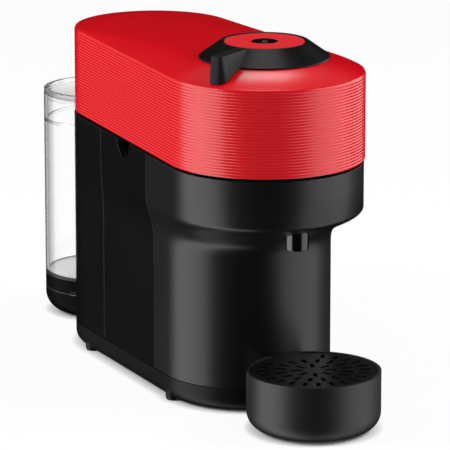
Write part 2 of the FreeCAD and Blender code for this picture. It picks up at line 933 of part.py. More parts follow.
def chassis():
    spine_half = inner_half - spine_gap
    back = spine_y + spine_t
    spine = box(-spine_half, spine_half, spine_y, back, floor_z, deck_z)
    deck = prism(collar_line(deck_z, body_wall + deck_gap), deck_t)
    deck = deck.common(box(-far, far, spine_y, leg_y + leg_t + deck_gap, deck_z, deck_z + deck_t))
    rail_front = dial_y - rail_reach
    rail = box(rail_in, rail_out, rail_front, spine_y, rail_z, rail_z + rail_h)
    root = box(spine_half - rail_w, rail_out, spine_y - rail_root, spine_y, rail_z, rail_z + rail_h)
    leg = box(leg_in, leg_in + leg_w, leg_y, leg_y + leg_t, floor_z, deck_z)
    shelf_half = leg_in + leg_w + shelf_over
    shelf = box(-shelf_half, shelf_half, back, leg_y, shelf_z, shelf_top)
    pad = box(pad_x - pad_w / 2, pad_x + pad_w / 2, back, back + pad_len, floor_z, floor_z + pad_h)
    post = rod(cover_post_r, deck_z + deck_t, cover_z, rear_y + cover_post_back, leg_in + leg_w)
    parts = [rail, root, post]
    room = rounded_below(column_line(floor_z, base_wall + slide_gap), deck_z - floor_z, base_round - base_wall)
    stand = joined(spine, leg, pad, mirrored(leg), mirrored(pad)).common(room)
    bracket = box(-hinge_w, hinge_w, hinge_y - hinge_r, hinge_y + hinge_r, deck_z, hinge_z)
    knuckle = rod_x(hinge_r, -hinge_w, hinge_w, hinge_y, hinge_z)
    studs = []
    for x in (-1, 1):
        for z in (board_z + stud_in, board_z + board_h - stud_in):
            studs.append(rod_y(stud_r, back, back + standoff, x * (board_w / 2 - stud_in), z))
    frame = joined(stand, deck, shelf, bracket, knuckle, *parts, *[mirrored(p) for p in parts], *studs)
    holes = [rod_x(pin_r + seat_gap, -far, far, hinge_y, hinge_z)]
    holes.append(rod(hose_r + slide_gap, shelf_z, shelf_top, riser_y))
    return frame.cut(holes + screw_holes(base_screw_places, foot_h))


def hinge_pin():
    half = hinge_w + ear_gap + ear_w + pin_end
    return rod_x(pin_r, -half, half, hinge_y, hinge_z)


def brew_chamber():
    top = cover_z
    cone_top = chamber_z + chamber_cone_h
    inner_r = chamber_r - chamber_wall
    hollow = [
        (inner_r, top),
        (inner_r, cone_top + cone_step),
        (chamber_foot_r - cone_wall, chamber_z + chamber_wall),
        (0, chamber_z + chamber_wall),
    ]
    outer = [(0, chamber_z), (chamber_foot_r, chamber_z), (chamber_r, cone_top), (chamber_r, top)]
    bowl = turned(outer + hollow, dial_y)
    hub = rod(hub_r, chamber_z - hub_h, chamber_z, dial_y)
    lug = box(chamber_r - lug_in, rail_in, dial_y - lug_half, dial_y + lug_half,
              rail_z + lug_edge, rail_z + rail_h - lug_edge)
    spout_z = outlet_z + outlet_h + outlet_flange + spout_gap
    spout = box(-spout_half, spout_half, outlet_y - spout_fore, dial_y - chamber_r + spout_root,
                spout_z, spout_z + spout_h)
    inside = turned(hollow + [(0, top)], dial_y)
    chamber = joined(bowl, hub, lug, mirrored(lug), spout.cut(inside))
    half = spout_half - spout_wall
    channel = box(-half, half, outlet_y - spout_bore_r, dial_y - chamber_foot_r,
                  spout_z + spout_wall, spout_z + spout_h - spout_wall)
    drop = rod(spout_bore_r, spout_z, spout_z + 2 * spout_wall, outlet_y)
    return chamber.cut([channel, drop, rod(bearing_r, chamber_z - hub_h, chamber_z + chamber_wall, dial_y)])


def holder_bearing():
    low = chamber_z - hub_h + bearing_up
    return ring(bearing_r - seat_gap, shaft_r + shaft_gap, low, low + bearing_h, dial_y)


def capsule_holder():
    low = chamber_z + chamber_wall + holder_floor_gap
    out = holder_r + holder_wall
    cup = turned([
        (0, low),
        (out, low),
        (out, cup_top - holder_rim_h),
        (holder_rim_r, cup_top - holder_rim_h),
        (holder_rim_r, cup_top),
        (holder_r, cup_top),
        (holder_r, low + holder_wall),
        (0, low + holder_wall),
    ], dial_y)
    return joined(cup, rod(shaft_r, chamber_z - hub_h + shaft_up, low, dial_y))


def coffee_outlet():
    top = outlet_z + outlet_h
    nozzle = rod(outlet_r, outlet_z, top, outlet_y)
    flange = rod(outlet_r + outlet_lip, top, top + outlet_flange, outlet_y)
    tip = [e for e in nozzle.Edges if e.BoundBox.ZMax < outlet_z + outlet_edge]
    nozzle = nozzle.makeFillet(outlet_edge, tip)
    funnel_z = top + outlet_flange - outlet_h / 2
    funnel = Part.makeCone(outlet_bore_r, outlet_r, outlet_h / 2, V(0, outlet_y, funnel_z))
    return joined(nozzle, flange).cut([rod(outlet_bore_r, outlet_z, top, outlet_y), funnel])


bin_z = runner_top + run_gap


def capsule_bin():
    half = inner_half - bin_gap
    rear = spine_y - bin_end

    def block(inset, low):
        solid = prism(column_line(low, body_wall + run_gap + inset), bin_z + bin_h - low)
        return solid.common(box(-half + inset, half - inset, -far, rear - inset, low, far))

    return block(0, bin_z).cut(block(bin_wall, bin_z + bin_wall))


def drip_tray():
    low = table_gap

    def pot(r, z, round_r):
        solid = rod(r, z, low + tray_h, tray_y)
        edge = [e for e in solid.Edges if e.BoundBox.ZMax < z + round_r / 2]
        return solid.makeFillet(round_r, edge)

    keep_out = prism(column_line(0, -tray_fit), far)
    outer = pot(tray_r, low, tray_round).cut(keep_out)
    inner = pot(tray_r - tray_wall, low + tray_wall, tray_round - tray_wall)
    inner = inner.cut(prism(column_line(0, -tray_fit - tray_wall), far))
    ledge_top = low + tray_h - grid_drop - grid_h - run_gap
    ledge = rod(tray_r - tray_wall / 2, ledge_top - ledge_h, ledge_top, tray_y)
    ledge = ledge.cut(prism(column_line(0, -tray_fit - tray_wall / 2), far))
    well = rod(tray_r - tray_wall - ledge_w, 0, far, tray_y)
    well = well.cut(prism(column_line(0, -tray_fit - tray_wall - ledge_w), far))
    ledge = ledge.cut(well)
    tongues = []
    for x in (-tongue_x, tongue_x):
        bar = box(x - tongue_w / 2, x + tongue_w / 2, tray_y + tray_r - tongue_root, column_y,
                  tongue_z, tongue_z + tongue_h)
        tongues.append(bar.cut([prism(column_line(0, body_wall - tongue_end), far), inner]))
    return joined(outer.cut(inner), ledge, *tongues)


def drip_grid():
    top = table_gap + tray_h - grid_drop
    plate = rod(tray_r - tray_wall - grid_gap, top - grid_h, top, tray_y)
    plate = plate.cut(prism(column_line(0, -tray_fit - tray_wall - grid_gap), far))
    slots = []
    outer_r = tray_r - tray_wall - grid_gap - slot_web
    for level in range(slot_rings):
        end = outer_r - level * (slot_len + slot_web)
        count = slot_count * (slot_rings - level)
        for i in range(count):
            cut = box(end - slot_len, end, tray_y - slot_w / 2, tray_y + slot_w / 2, top - grid_h, top)
            cut.rotate(V(0, tray_y, 0), V(0, 0, 1), 360.0 * (i + 0.5) / count)
            slots.append(cut)
    behind = [s for s in slots if s.BoundBox.YMax < tray_y + tray_r - tray_wall - grid_gap - 2 * slot_web]
    return plate.cut(behind)


def pump():
    body = rod_y(pump_r, pump_y0, pump_y1, 0, pump_z)
    inlet = rod_y(nipple_r, pump_y1, pump_y1 + nipple_len, 0, pump_z)
    outlet = rod_y(nipple_r, pump_y0 - nipple_len, pump_y0, 0, pump_z)
    return joined(body, inlet, outlet)


def pump_cradle():
    half = pump_r + cradle_w
    block = box(-half, half, pump_y0 + cradle_in, pump_y1 - cradle_in, floor_z, pump_z - cradle_drop)
    return block.cut(rod_y(pump_r + seat_gap, pump_y0, pump_y1, 0, pump_z))


riser_y = pump_y0 - nipple_len - hose_bend - riser_gap
block_y0 = pump_y0 - nipple_len + port_len
block_port_z = shelf_top + block_h / 2
union_z = shelf_top + block_h + union_h
union_y = block_y0 + block_len - union_in


def thermoblock():
    body = box(-block_w / 2, block_w / 2, block_y0, block_y0 + block_len, shelf_top, shelf_top + block_h)
    inlet = rod_y(nipple_r, block_y0 - port_len, block_y0, 0, block_port_z)
    outlet = rod(nipple_r, shelf_top + block_h, union_z, union_y, union_x)
    return joined(body, inlet, outlet)


board_z = deck_z - board_h - board_drop


def control_board():
    front = spine_y + spine_t + standoff
    back = front + board_t
    plate = box(-board_w / 2, board_w / 2, front, back, board_z, board_z + board_h)

    def mounted(x, z, width, height, rise):
        return box(x - width / 2, x + width / 2, back, back + rise,
                   board_z + z - height / 2, board_z + z + height / 2)

    capacitor = rod_y(capacitor_r, back, back + capacitor_h, capacitor_x, board_z + capacitor_z)
    return joined(plate, mounted(*relay), mounted(*driver), capacitor)


def suction_hose():
    turn_y = pump_y1 + nipple_len + hose_bend * 2
    return hose([V(0, tank_y - socket_r - run_gap, hose_z), V(0, turn_y, hose_z), V(0, turn_y, pump_z),
                 V(0, pump_y1 + nipple_len, pump_z)])


def pressure_hose():
    start_y = pump_y0 - nipple_len
    return hose([V(0, start_y, pump_z), V(0, riser_y, pump_z), V(0, riser_y, block_port_z),
                 V(0, start_y, block_port_z)])


def hot_hose():
    x = union_x
    over_y = leg_y - hose_r * 2
    high = union_z + hot_rise
    return hose([V(x, union_y, union_z), V(x, union_y, high), V(x, over_y, high + hot_fall), V(x, over_y, deck_z)])


gland_way = V(math.sin(math.radians(gland_turn)), math.cos(math.radians(gland_turn)), 0)
gland_neck_r = gland_r - gland_lip
gland_at = V(0, rear_y, seam_z + gland_up) + gland_way * column_rear_r


def gland_bore():
    return Part.makeCylinder(gland_neck_r, far, V(0, rear_y, seam_z + gland_up), gland_way)


def cord_gland():
    lip = Part.makeCylinder(gland_r, gland_lip, gland_at + gland_way * gland_out, gland_way)
    neck_at = gland_at - gland_way * (gland_len - gland_lip - gland_out)
    neck = Part.makeCylinder(gland_neck_r - seat_gap, gland_len, neck_at, gland_way)
    bore = Part.makeCylinder(gland_bore_r, gland_len * 3, gland_at - gland_way * gland_len, gland_way)
    return joined(lip, neck).cut(bore)


nodes = {
    "base_plate": base_plate(),
    "rubber_feet": rubber_feet(),
    "tank_dock": tank_dock(),
    "dock_seal": dock_seal(),
    "rear_shell": rear_shell(),
    "left_panel": side_panel(-1),
    "right_panel": side_panel(1),
    "top_cover": top_cover(),
    "chassis": chassis(),
    "brew_chamber": brew_chamber(),
    "holder_bearing": holder_bearing(),
    "hinge_pin": hinge_pin(),
    "pump": pump(),
    "pump_cradle": pump_cradle(),
    "thermoblock": thermoblock(),
    "control_board": control_board(),
    "suction_hose": suction_hose(),
    "pressure_hose": pressure_hose(),
    "hot_hose": hot_hose(),
    "cord_gland": cord_gland(),
    "base_screws": screws(base_screw_places, foot_h),
    "capsule_holder": capsule_holder(),
    "head_cap": head_cap(),
    "head_frame": head_frame(),
    "spindle_bearing": spindle_bearing(),
    "drive_motor": drive_motor(),
    "drive_belt": drive_belt(),
    "button_bracket": button_bracket(),
    "button_switch": button_switch(),
    "dial_disc": dial_disc(),
    "head_screws": screws(cap_boss_places, frame_z),
    "lock_dial": lock_dial(),
    "lock_lever": lock_lever(),
    "lock_collar": lock_collar(),
    "brew_button": brew_button(),
    "clamp_flange": clamp_flange(),
    "injection_needle": injection_needle(),
    "spindle_pulley": spindle_pulley(),
    "motor_rotor": motor_rotor(),
    "front_housing": front_housing(),
    "capsule_bin": capsule_bin(),
    "coffee_outlet": coffee_outlet(),
    "drip_tray": drip_tray(),
    "drip_grid": drip_grid(),
    "tank_vessel": tank_vessel(),
    "tank_base": tank_base(),
    "tank_floor": tank_floor(),
    "tank_valve": tank_valve(),
    "tank_lid": tank_lid(),
}

os.makedirs("parts", exist_ok=True)
for name, shape in nodes.items():
    print(name, len(shape.Solids), shape.isValid(), round(shape.Volume, 1))
    shape.exportStep("parts/" + name + ".step")
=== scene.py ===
import json
import math

import bmesh
import bpy
from mathutils import Matrix, Vector


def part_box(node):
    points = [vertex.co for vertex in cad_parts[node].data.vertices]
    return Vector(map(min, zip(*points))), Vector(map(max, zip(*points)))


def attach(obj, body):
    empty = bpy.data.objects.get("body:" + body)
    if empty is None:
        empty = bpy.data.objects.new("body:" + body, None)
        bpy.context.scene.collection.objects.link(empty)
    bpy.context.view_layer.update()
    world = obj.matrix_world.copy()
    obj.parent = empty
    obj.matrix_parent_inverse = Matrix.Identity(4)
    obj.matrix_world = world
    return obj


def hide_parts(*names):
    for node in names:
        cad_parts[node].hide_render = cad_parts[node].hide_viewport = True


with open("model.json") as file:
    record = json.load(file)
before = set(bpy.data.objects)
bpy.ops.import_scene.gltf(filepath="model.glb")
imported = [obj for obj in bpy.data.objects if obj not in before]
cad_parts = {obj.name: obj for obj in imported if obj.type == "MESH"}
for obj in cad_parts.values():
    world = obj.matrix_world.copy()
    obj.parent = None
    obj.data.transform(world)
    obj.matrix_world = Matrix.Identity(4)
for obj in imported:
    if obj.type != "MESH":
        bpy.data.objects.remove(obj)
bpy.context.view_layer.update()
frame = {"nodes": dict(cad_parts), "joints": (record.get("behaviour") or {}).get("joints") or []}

mm = 0.001
scene = bpy.context.scene
joints = {joint["name"]: joint for joint in frame["joints"]}
dialY = joints["lock_turn"]["pos_m"][1]
hingeY, hingeZ = joints["head_hinge"]["pos_m"][1:]
print("frame loaded:", len(frame["nodes"]), "nodes")


# Shader sums written as Python: a Wire is a socket that takes part in + - * /
class Wire:
    def __init__(self, tree, socket):
        self.tree = tree
        self.socket = socket

    def node(self, kind, setup=None, inputs=None, out=0):
        made = self.tree.nodes.new(kind)
        for key, value in (setup or {}).items():
            if key == "stops":
                while len(made.color_ramp.elements) < len(value):
                    made.color_ramp.elements.new(0.5)
                for stop, (place, colour) in zip(made.color_ramp.elements, value):
                    stop.position = place
                    stop.color = colour
            else:
                setattr(made, key, value)
        for key, value in (inputs or {}).items():
            if isinstance(value, Wire):
                self.tree.links.new(value.socket, made.inputs[key])
            else:
                made.inputs[key].default_value = value
        return Wire(self.tree, made.outputs[out])

    def sum(self, operation, a, b):
        return self.node("ShaderNodeMath", {"operation": operation}, {0: a, 1: b})

    def __add__(self, other):
        return self.sum("ADD", self, other)

    def __sub__(self, other):
        return self.sum("SUBTRACT", self, other)

    def __rsub__(self, other):
        return self.sum("SUBTRACT", other, self)

    def __mul__(self, other):
        return self.sum("MULTIPLY", self, other)

    __radd__ = __add__
    __rmul__ = __mul__

    def into(self, node, name):
        self.tree.links.new(self.socket, node.inputs[name])


def linear(red, green, blue):  # an sRGB colour, 0 to 255, as Blender wants it
    def one(value):
        value /= 255
        return value / 12.92 if value < 0.04045 else ((value + 0.055) / 1.055) ** 2.4
    return (one(red), one(green), one(blue), 1.0)


def newMaterial(name, **sockets):
    material = bpy.data.materials.new(name)
    material.use_nodes = True
    tree = material.node_tree
    shader = tree.nodes["Principled BSDF"]
    for key, value in sockets.items():
        shader.inputs[key.replace("_", " ")].default_value = value
    place = tree.nodes.new("ShaderNodeTexCoord")
    return material, shader, Wire(tree, place.outputs["Object"])


def noise(place, scale, detail=2.0):
    return place.node("ShaderNodeTexNoise", None, {"Vector": place, "Scale": scale, "Detail": detail})


def blendColours(factor, low, high):
    return factor.node("ShaderNodeMix", {"data_type": "RGBA"}, {0: factor, 6: low, 7: high}, out=2)


def bumped(shader, height, distance, strength):
    bump = height.node("ShaderNodeBump", None, {"Height": height, "Distance": distance, "Strength": strength})
    bump.into(shader, "Normal")


# Moulded plastic: a base colour that drifts a little, and the fine grain of an eroded mould
mould = {
    "cloudScale": 14.0,
    "speckDetail": 3.0,
    "speckRough": 0.10,
    "cloudRough": 0.05,
    "bumpShare": 0.25,
}


def mouldedPlastic(name, colour, drift, roughness, grain, grainSize, specular=0.5):
    material, shader, place = newMaterial(name, Specular_IOR_Level=specular)
    cloud = noise(place, mould["cloudScale"])
    tone = linear(*colour)
    deep = tuple(c * (1 - drift) for c in tone[:3]) + (1.0,)
    pale = tuple(min(1.0, c * (1 + drift)) for c in tone[:3]) + (1.0,)
    blendColours(cloud, deep, pale).into(shader, "Base Color")
    speck = noise(place, 1 / grainSize, mould["speckDetail"])
    least = roughness - (mould["speckRough"] + mould["cloudRough"]) / 2
    rough = speck * mould["speckRough"] + cloud * mould["cloudRough"] + least
    rough.into(shader, "Roughness")
    bumped(shader, speck, grainSize * mould["bumpShare"], grain)
    return material


# Colour, drift, roughness, grain, grain size and specular level
redShell = mouldedPlastic("redShell", (216, 10, 25), 0.03, 0.22, 0.02, 0.3 * mm, 0.85)
redDisc = mouldedPlastic("redDisc", (246, 52, 60), 0.03, 0.14, 0.02, 0.5 * mm)
blackShell = mouldedPlastic("blackShell", (11, 11, 12), 0.10, 0.25, 0.10, 0.35 * mm)
blackFront = mouldedPlastic("blackFront", (13, 13, 14), 0.10, 0.35, 0.10, 0.35 * mm, 0.57)
blackSatin = mouldedPlastic("blackSatin", (14, 14, 15), 0.10, 0.31, 0.06, 0.35 * mm, 0.3)
blackLever = mouldedPlastic("blackLever", (28, 28, 29), 0.10, 0.34, 0.06, 0.35 * mm, 0.16)
blackMatt = mouldedPlastic("blackMatt", (10, 10, 11), 0.10, 0.45, 0.10, 0.4 * mm, 0.03)
blackBase = mouldedPlastic("blackBase", (14, 14, 15), 0.10, 0.40, 0.10, 0.4 * mm, 0.2)
blackTray = mouldedPlastic("blackTray", (16, 16, 17), 0.10, 0.45, 0.10, 0.4 * mm, 0.64)
blackGloss = mouldedPlastic("blackGloss", (10, 10, 11), 0.05, 0.14, 0.02, 0.5 * mm)
outletGloss = mouldedPlastic("outletGloss", (10, 10, 11), 0.05, 0.16, 0.02, 0.5 * mm, 1.0)
darkFrame = mouldedPlastic("darkFrame", (52, 52, 54), 0.12, 0.55, 0.20, 0.4 * mm)
blackRubber = mouldedPlastic("blackRubber", (22, 22, 22), 0.12, 0.80, 0.35, 0.6 * mm)
# painted light: dark grey for the clear wall's ends over the black band and for the latch's light line; the
# wall ends are real, their grey is painted light
smokedLip = mouldedPlastic("smokedLip", (50, 50, 51), 0.05, 0.30, 0.02, 0.5 * mm, 0.2)
latchGrey = mouldedPlastic("latchGrey", (104, 104, 105), 0.05, 0.30, 0.02, 0.5 * mm, 0.2)
paleFloor = mouldedPlastic("paleFloor", (226, 226, 227), 0.02, 0.40, 0.05, 0.5 * mm)
siliconeHose = mouldedPlastic("siliconeHose", (222, 222, 216), 0.04, 0.45, 0.08, 0.6 * mm)
boardGreen = mouldedPlastic("boardGreen", (24, 92, 52), 0.10, 0.38, 0.10, 0.8 * mm)
markGrey = mouldedPlastic("markGrey", (120, 118, 118), 0.02, 0.45, 0.02, 0.5 * mm)


# Metal with the fine streaks of turning or casting
turning = {
    "scratch": (40.0, 40.0, 2200.0),
    "detail": 3.0,
    "dark": 0.88,
    "rough": 0.16,
    "bump": 0.02 * mm,
    "strength": 0.3,
}


def turnedMetal(name, colour, roughness):
    material, shader, place = newMaterial(name, Metallic=1.0)
    scratch = place.node("ShaderNodeMapping", None, {"Vector": place, "Scale": turning["scratch"]})
    streak = noise(scratch, 1.0, turning["detail"])
    tone = linear(*colour)
    dark = tuple(c * turning["dark"] for c in tone[:3]) + (1.0,)
    blendColours(streak, dark, tone).into(shader, "Base Color")
    (streak * turning["rough"] + (roughness - turning["rough"] / 2)).into(shader, "Roughness")
    bumped(shader, streak, turning["bump"], turning["strength"])
    return material


steel = turnedMetal("steel", (190, 190, 192), 0.28)
motorCan = turnedMetal("motorCan", (140, 140, 143), 0.38)
castAluminium = turnedMetal("castAluminium", (176, 177, 180), 0.46)


# Clear plastic gets painted shade: its base colour turns grey where it is seen edge on
glassy = {
    "ior": 1.45,
    "specular": 0.15,
    "blend": 0.5,
    "edgeGain": 1.7,
    "edgeStart": 0.45,
    "hazeScale": 60.0,
    "haze": 0.02,
}


def clearPlastic(name, through, roughness, face, rim):
    material, shader, place = newMaterial(name, Transmission_Weight=through, IOR=glassy["ior"],
                                          Specular_IOR_Level=glassy["specular"])
    facing = place.node("ShaderNodeLayerWeight", None, {"Blend": glassy["blend"]}, out="Facing")
    grazing = facing * glassy["edgeGain"] - glassy["edgeStart"]
    edge = facing.node("ShaderNodeClamp", None, {"Value": grazing})
    # painted shade: the base colour blends from the face colour to the rim grey at grazing angles
    blendColours(edge * edge, linear(*face), linear(*rim)).into(shader, "Base Color")
    haze = noise(place, glassy["hazeScale"])
    (haze * glassy["haze"] + roughness).into(shader, "Roughness")
    return material


# the last colour of each is the painted edge shade
clearTank = clearPlastic("clearTank", 1.0, 0.0, (252, 252, 253), (60, 61, 62))
clearRim = clearPlastic("clearRim", 0.90, 0.02, (250, 250, 251), (150, 151, 152))
clearLid = clearPlastic("clearLid", 0.25, 0.20, (253, 253, 254), (250, 250, 251))
print("materials made:", len(bpy.data.materials))


sharpAngle = 32  # degrees, the least turn that shows as an edge
mergeDistance = 0.002 * mm


def vertsOf(geometry):
    return [part for part in geometry if isinstance(part, bmesh.types.BMVert)]


# Rows of points become a skin: each row is extruded out of the one before
def skin(rows, closed=True):
    bm = bmesh.new()
    row = [bm.verts.new(point) for point in rows[0]]

    def pairs():
        return list(zip(row, row[1:] + row[:1] if closed else row[1:]))

    edges = [bm.edges.new(pair) for pair in pairs()]
    for points in rows[1:]:
        grown = bmesh.ops.extrude_edge_only(bm, edges=edges)["geom"]
        fresh = set(vertsOf(grown))
        row = [next(e.other_vert(v) for e in v.link_edges if e.other_vert(v) in fresh) for v in row]
        for vert, point in zip(row, points):
            vert.co = point
        edges = [bm.edges.get(pair) for pair in pairs()]
    return bm


def spun(profile, y, steps=96, ring=True):  # a turned shape about a vertical axis
    bm = bmesh.new()
    verts = [bm.verts.new((r, y, z)) for r, z in profile]
    edges = [bm.edges.new(pair) for pair in zip(verts, verts[1:])]
    if ring:
        edges.append(bm.edges.new((verts[-1], verts[0])))
    bmesh.ops.spin(bm, geom=verts + edges, cent=(0, y, 0), axis=(0, 0, 1), angle=2 * math.pi, steps=steps,
                   use_merge=True)
    return closeUp(bm)


def closeUp(bm):
    bmesh.ops.remove_doubles(bm, verts=bm.verts, dist=mergeDistance)
    bmesh.ops.recalc_face_normals(bm, faces=bm.faces)
    return bm


def pillar(points, low, high):  # a flat outline raised into a block
    bm = bmesh.new()
    face = bm.faces.new([bm.verts.new((x, y, low)) for x, y in points])
    raised = bmesh.ops.extrude_face_region(bm, geom=[face])["geom"]
    bmesh.ops.translate(bm, verts=vertsOf(raised), vec=(0, 0, high - low))
    return closeUp(bm)


def newPiece(name, bm, material, body, replaced=()):
    mesh = bpy.data.meshes.new(name)
    bm.to_mesh(mesh)
    bm.free()
    piece = bpy.data.objects.new(name, mesh)
    scene.collection.objects.link(piece)
    mesh.materials.append(material)
    mesh.shade_smooth()
    mesh.set_sharp_from_angle(angle=math.radians(sharpAngle))
    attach(piece, body)
    if replaced:
        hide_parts(*replaced)
    return piece


def thicken(piece, wall):
    solid = piece.modifiers.new("wall", "SOLIDIFY")
    solid.thickness = wall
    solid.offset = -1
    solid.use_even_offset = True


def soften(piece, width, segments=3, angle=sharpAngle):
    bevel = piece.modifiers.new("edges", "BEVEL")
    bevel.width = width
    bevel.segments = segments
    bevel.limit_method = "ANGLE"
    bevel.angle_limit = math.radians(angle)
    bevel.harden_normals = True


def carve(piece, *cutters):  # cuts the shapes out of a piece and bakes its modifiers
    held = []
    for bm in cutters:
        mesh = bpy.data.meshes.new("cutter")
        bm.to_mesh(mesh)
        bm.free()
        cutter = bpy.data.objects.new("cutter", mesh)
        scene.collection.objects.link(cutter)
        held.append(cutter)
        cut = piece.modifiers.new("cut", "BOOLEAN")
        cut.operation = "DIFFERENCE"
        cut.solver = "EXACT"
        cut.object = cutter
    bpy.context.view_layer.update()
    graph = bpy.context.evaluated_depsgraph_get()
    baked = bpy.data.meshes.new_from_object(piece.evaluated_get(graph))
    piece.modifiers.clear()
    piece.data = baked
    for cutter in held:
        bpy.data.objects.remove(cutter)
    baked.shade_smooth()
    baked.set_sharp_from_angle(angle=math.radians(sharpAngle))


# The plan of the machine: a stadium that tapers towards the back
plan = {
    "frontR": 68.0 * mm,
    "rearR": 56.4 * mm,
    "length": 171.7 * mm,
    "bodyInset": 0.8 * mm,
    "bodyRearR": 56.8 * mm,
    "columnR": 58.8 * mm,
    "setback": 28.8 * mm,
    "frontSteps": 72,
    "sideSteps": 24,
    "rearSteps": 56,
}
rearY = dialY + plan["length"]


def arcPoints(centreY, radius, start, end, steps, z):
    turns = [start + (end - start) * i / steps for i in range(steps + 1)]
    return [Vector((radius * math.cos(t), centreY + radius * math.sin(t), z)) for t in turns]


def between(a, b, steps):
    return [a.lerp(b, i / steps) for i in range(1, steps)]


def tilt(frontY, frontR, rearR):
    return math.asin((frontR - rearR) / (rearY - frontY))


def outlineRow(frontY, frontR, rearR, z):
    lean = tilt(frontY, frontR, rearR)
    front = arcPoints(frontY, frontR, math.pi - lean, 2 * math.pi + lean, plan["frontSteps"], z)
    rear = arcPoints(rearY, rearR, lean, math.pi - lean, plan["rearSteps"], z)
    right = between(front[-1], rear[0], plan["sideSteps"])
    left = between(rear[-1], front[0], plan["sideSteps"])
    return front + right + rear + left


def headRow(z, inset):
    return outlineRow(dialY, plan["frontR"] - inset, plan["rearR"] - inset, z)


def columnRow(z, inset):
    return outlineRow(dialY + plan["setback"], plan["columnR"] - inset, plan["bodyRearR"] - inset, z)


# Red cap: ribbed wall, rolled edge and a crown that rises to the dial
cap = {
    "low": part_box("head_cap")[0].z,
    "ribs": 29,
    "ribPitch": 2.02 * mm,
    "ribDepth": 0.4 * mm,
    "ribSteps": 8,
    "edgeR": 1.2 * mm,
    "edgeSteps": 4,
    "crownRise": 8.6 * mm,
    "crownSteps": 12,
    "crownBulge": 0.8 * mm,
    "sideTurn": math.radians(40),
    "seatR": 44.5 * mm,
    "holeR": 38.4 * mm,
    "wall": 2.5 * mm,
    "notchHalf": 11.0 * mm,  # notch for the hinge bracket
    "notchDeep": 40 * mm,
    "notchBelow": 10 * mm,
    "notchAbove": 1 * mm,
    "reliefR": 21.2 * mm,
    "reliefStep": math.radians(5),
    "reliefSteps": 18,
    "reliefReach": 80 * mm,
    "reliefBack": 45 * mm,
    "reliefBelow": 9 * mm,
}
capLean = math.atan2(cap["crownRise"], plan["frontR"] - cap["ribDepth"] - cap["seatR"])
capEdgeTurn = math.pi / 2 - capLean
ribsTop = cap["low"] + cap["ribs"] * cap["ribPitch"]
edgeZ = ribsTop + cap["edgeR"] * math.sin(capEdgeTurn)
edgeIn = cap["ribDepth"] + cap["edgeR"] * (1 - math.cos(capEdgeTurn))
seatZ = edgeZ + cap["crownRise"]


def ringRow(radius, z):  # a circle about the dial, with its points where the cap's outline has them
    lean = tilt(dialY, plan["frontR"], plan["rearR"])
    turn = cap["sideTurn"]
    front = arcPoints(dialY, radius, math.pi - lean, 2 * math.pi + lean, plan["frontSteps"], z)
    right = arcPoints(dialY, radius, lean, lean + turn, plan["sideSteps"], z)[1:-1]
    rear = arcPoints(dialY, radius, lean + turn, math.pi - lean - turn, plan["rearSteps"], z)
    left = arcPoints(dialY, radius, math.pi - lean - turn, math.pi - lean, plan["sideSteps"], z)[1:-1]
    return front + right + rear + left


def lerpRows(a, b, steps):  # rows from a to b, bowed a little upwards
    rows = []
    for i in range(steps + 1):
        t = i / steps
        rise = Vector((0, 0, cap["crownBulge"] * 4 * t * (1 - t)))
        rows.append([p.lerp(q, t) + rise for p, q in zip(a, b)])
    return rows


def makeCap():
    wall = cap["wall"]
    under = [ringRow(cap["seatR"], seatZ - wall), headRow(edgeZ - wall, wall)]
    rows = [ringRow(cap["holeR"], seatZ - wall)] + lerpRows(*under, cap["crownSteps"])
    rows.append(headRow(cap["low"], wall))
    rows.append(headRow(cap["low"], cap["ribDepth"]))
    for rib in range(cap["ribs"]):
        for step in range(1, cap["ribSteps"] + 1):
            t = step / cap["ribSteps"]
            dip = cap["ribDepth"] * (1 + math.cos(2 * math.pi * t)) / 2
            rows.append(headRow(cap["low"] + (rib + t) * cap["ribPitch"], dip))
    for step in range(1, cap["edgeSteps"] + 1):
        turn = capEdgeTurn * step / cap["edgeSteps"]
        inset = cap["ribDepth"] + cap["edgeR"] * (1 - math.cos(turn))
        rows.append(headRow(ribsTop + cap["edgeR"] * math.sin(turn), inset))
    rows += lerpRows(headRow(edgeZ, edgeIn), ringRow(cap["seatR"], seatZ), cap["crownSteps"])[1:]
    rows.append(ringRow(cap["holeR"], seatZ))
    piece = newPiece("headCap", closeUp(skin(rows + rows[:1])), redShell, "head", ["head_cap"])
    half = cap["notchHalf"]
    back = hingeY + cap["notchDeep"]
    notch = pillar([(-half, hingeY), (half, hingeY), (half, back), (-half, back)],
                   cap["low"] - cap["notchBelow"], hingeZ + cap["notchAbove"])
    carve(piece, notch, reliefCutter())


def reliefCutter():  # lets the cap's lower back edge swing past the body as the head opens
    reach = cap["reliefReach"]
    turns = [cap["reliefStep"] * (i + 1) for i in range(cap["reliefSteps"])]
    arc = [(hingeY + cap["reliefR"] * math.sin(t), hingeZ - cap["reliefR"] * math.cos(t)) for t in turns]
    back = hingeY + cap["reliefBack"]
    low = cap["low"] - cap["reliefBelow"]
    corner = [(back, hingeZ), (back, low), (arc[0][0], low)]
    bm = bmesh.new()
    face = bm.faces.new([bm.verts.new((-reach, y, z)) for y, z in arc + corner])
    pulled = bmesh.ops.extrude_face_region(bm, geom=[face])["geom"]
    bmesh.ops.translate(bm, verts=vertsOf(pulled), vec=(2 * reach, 0, 0))
    return closeUp(bm)


makeCap()
print("red cap made")


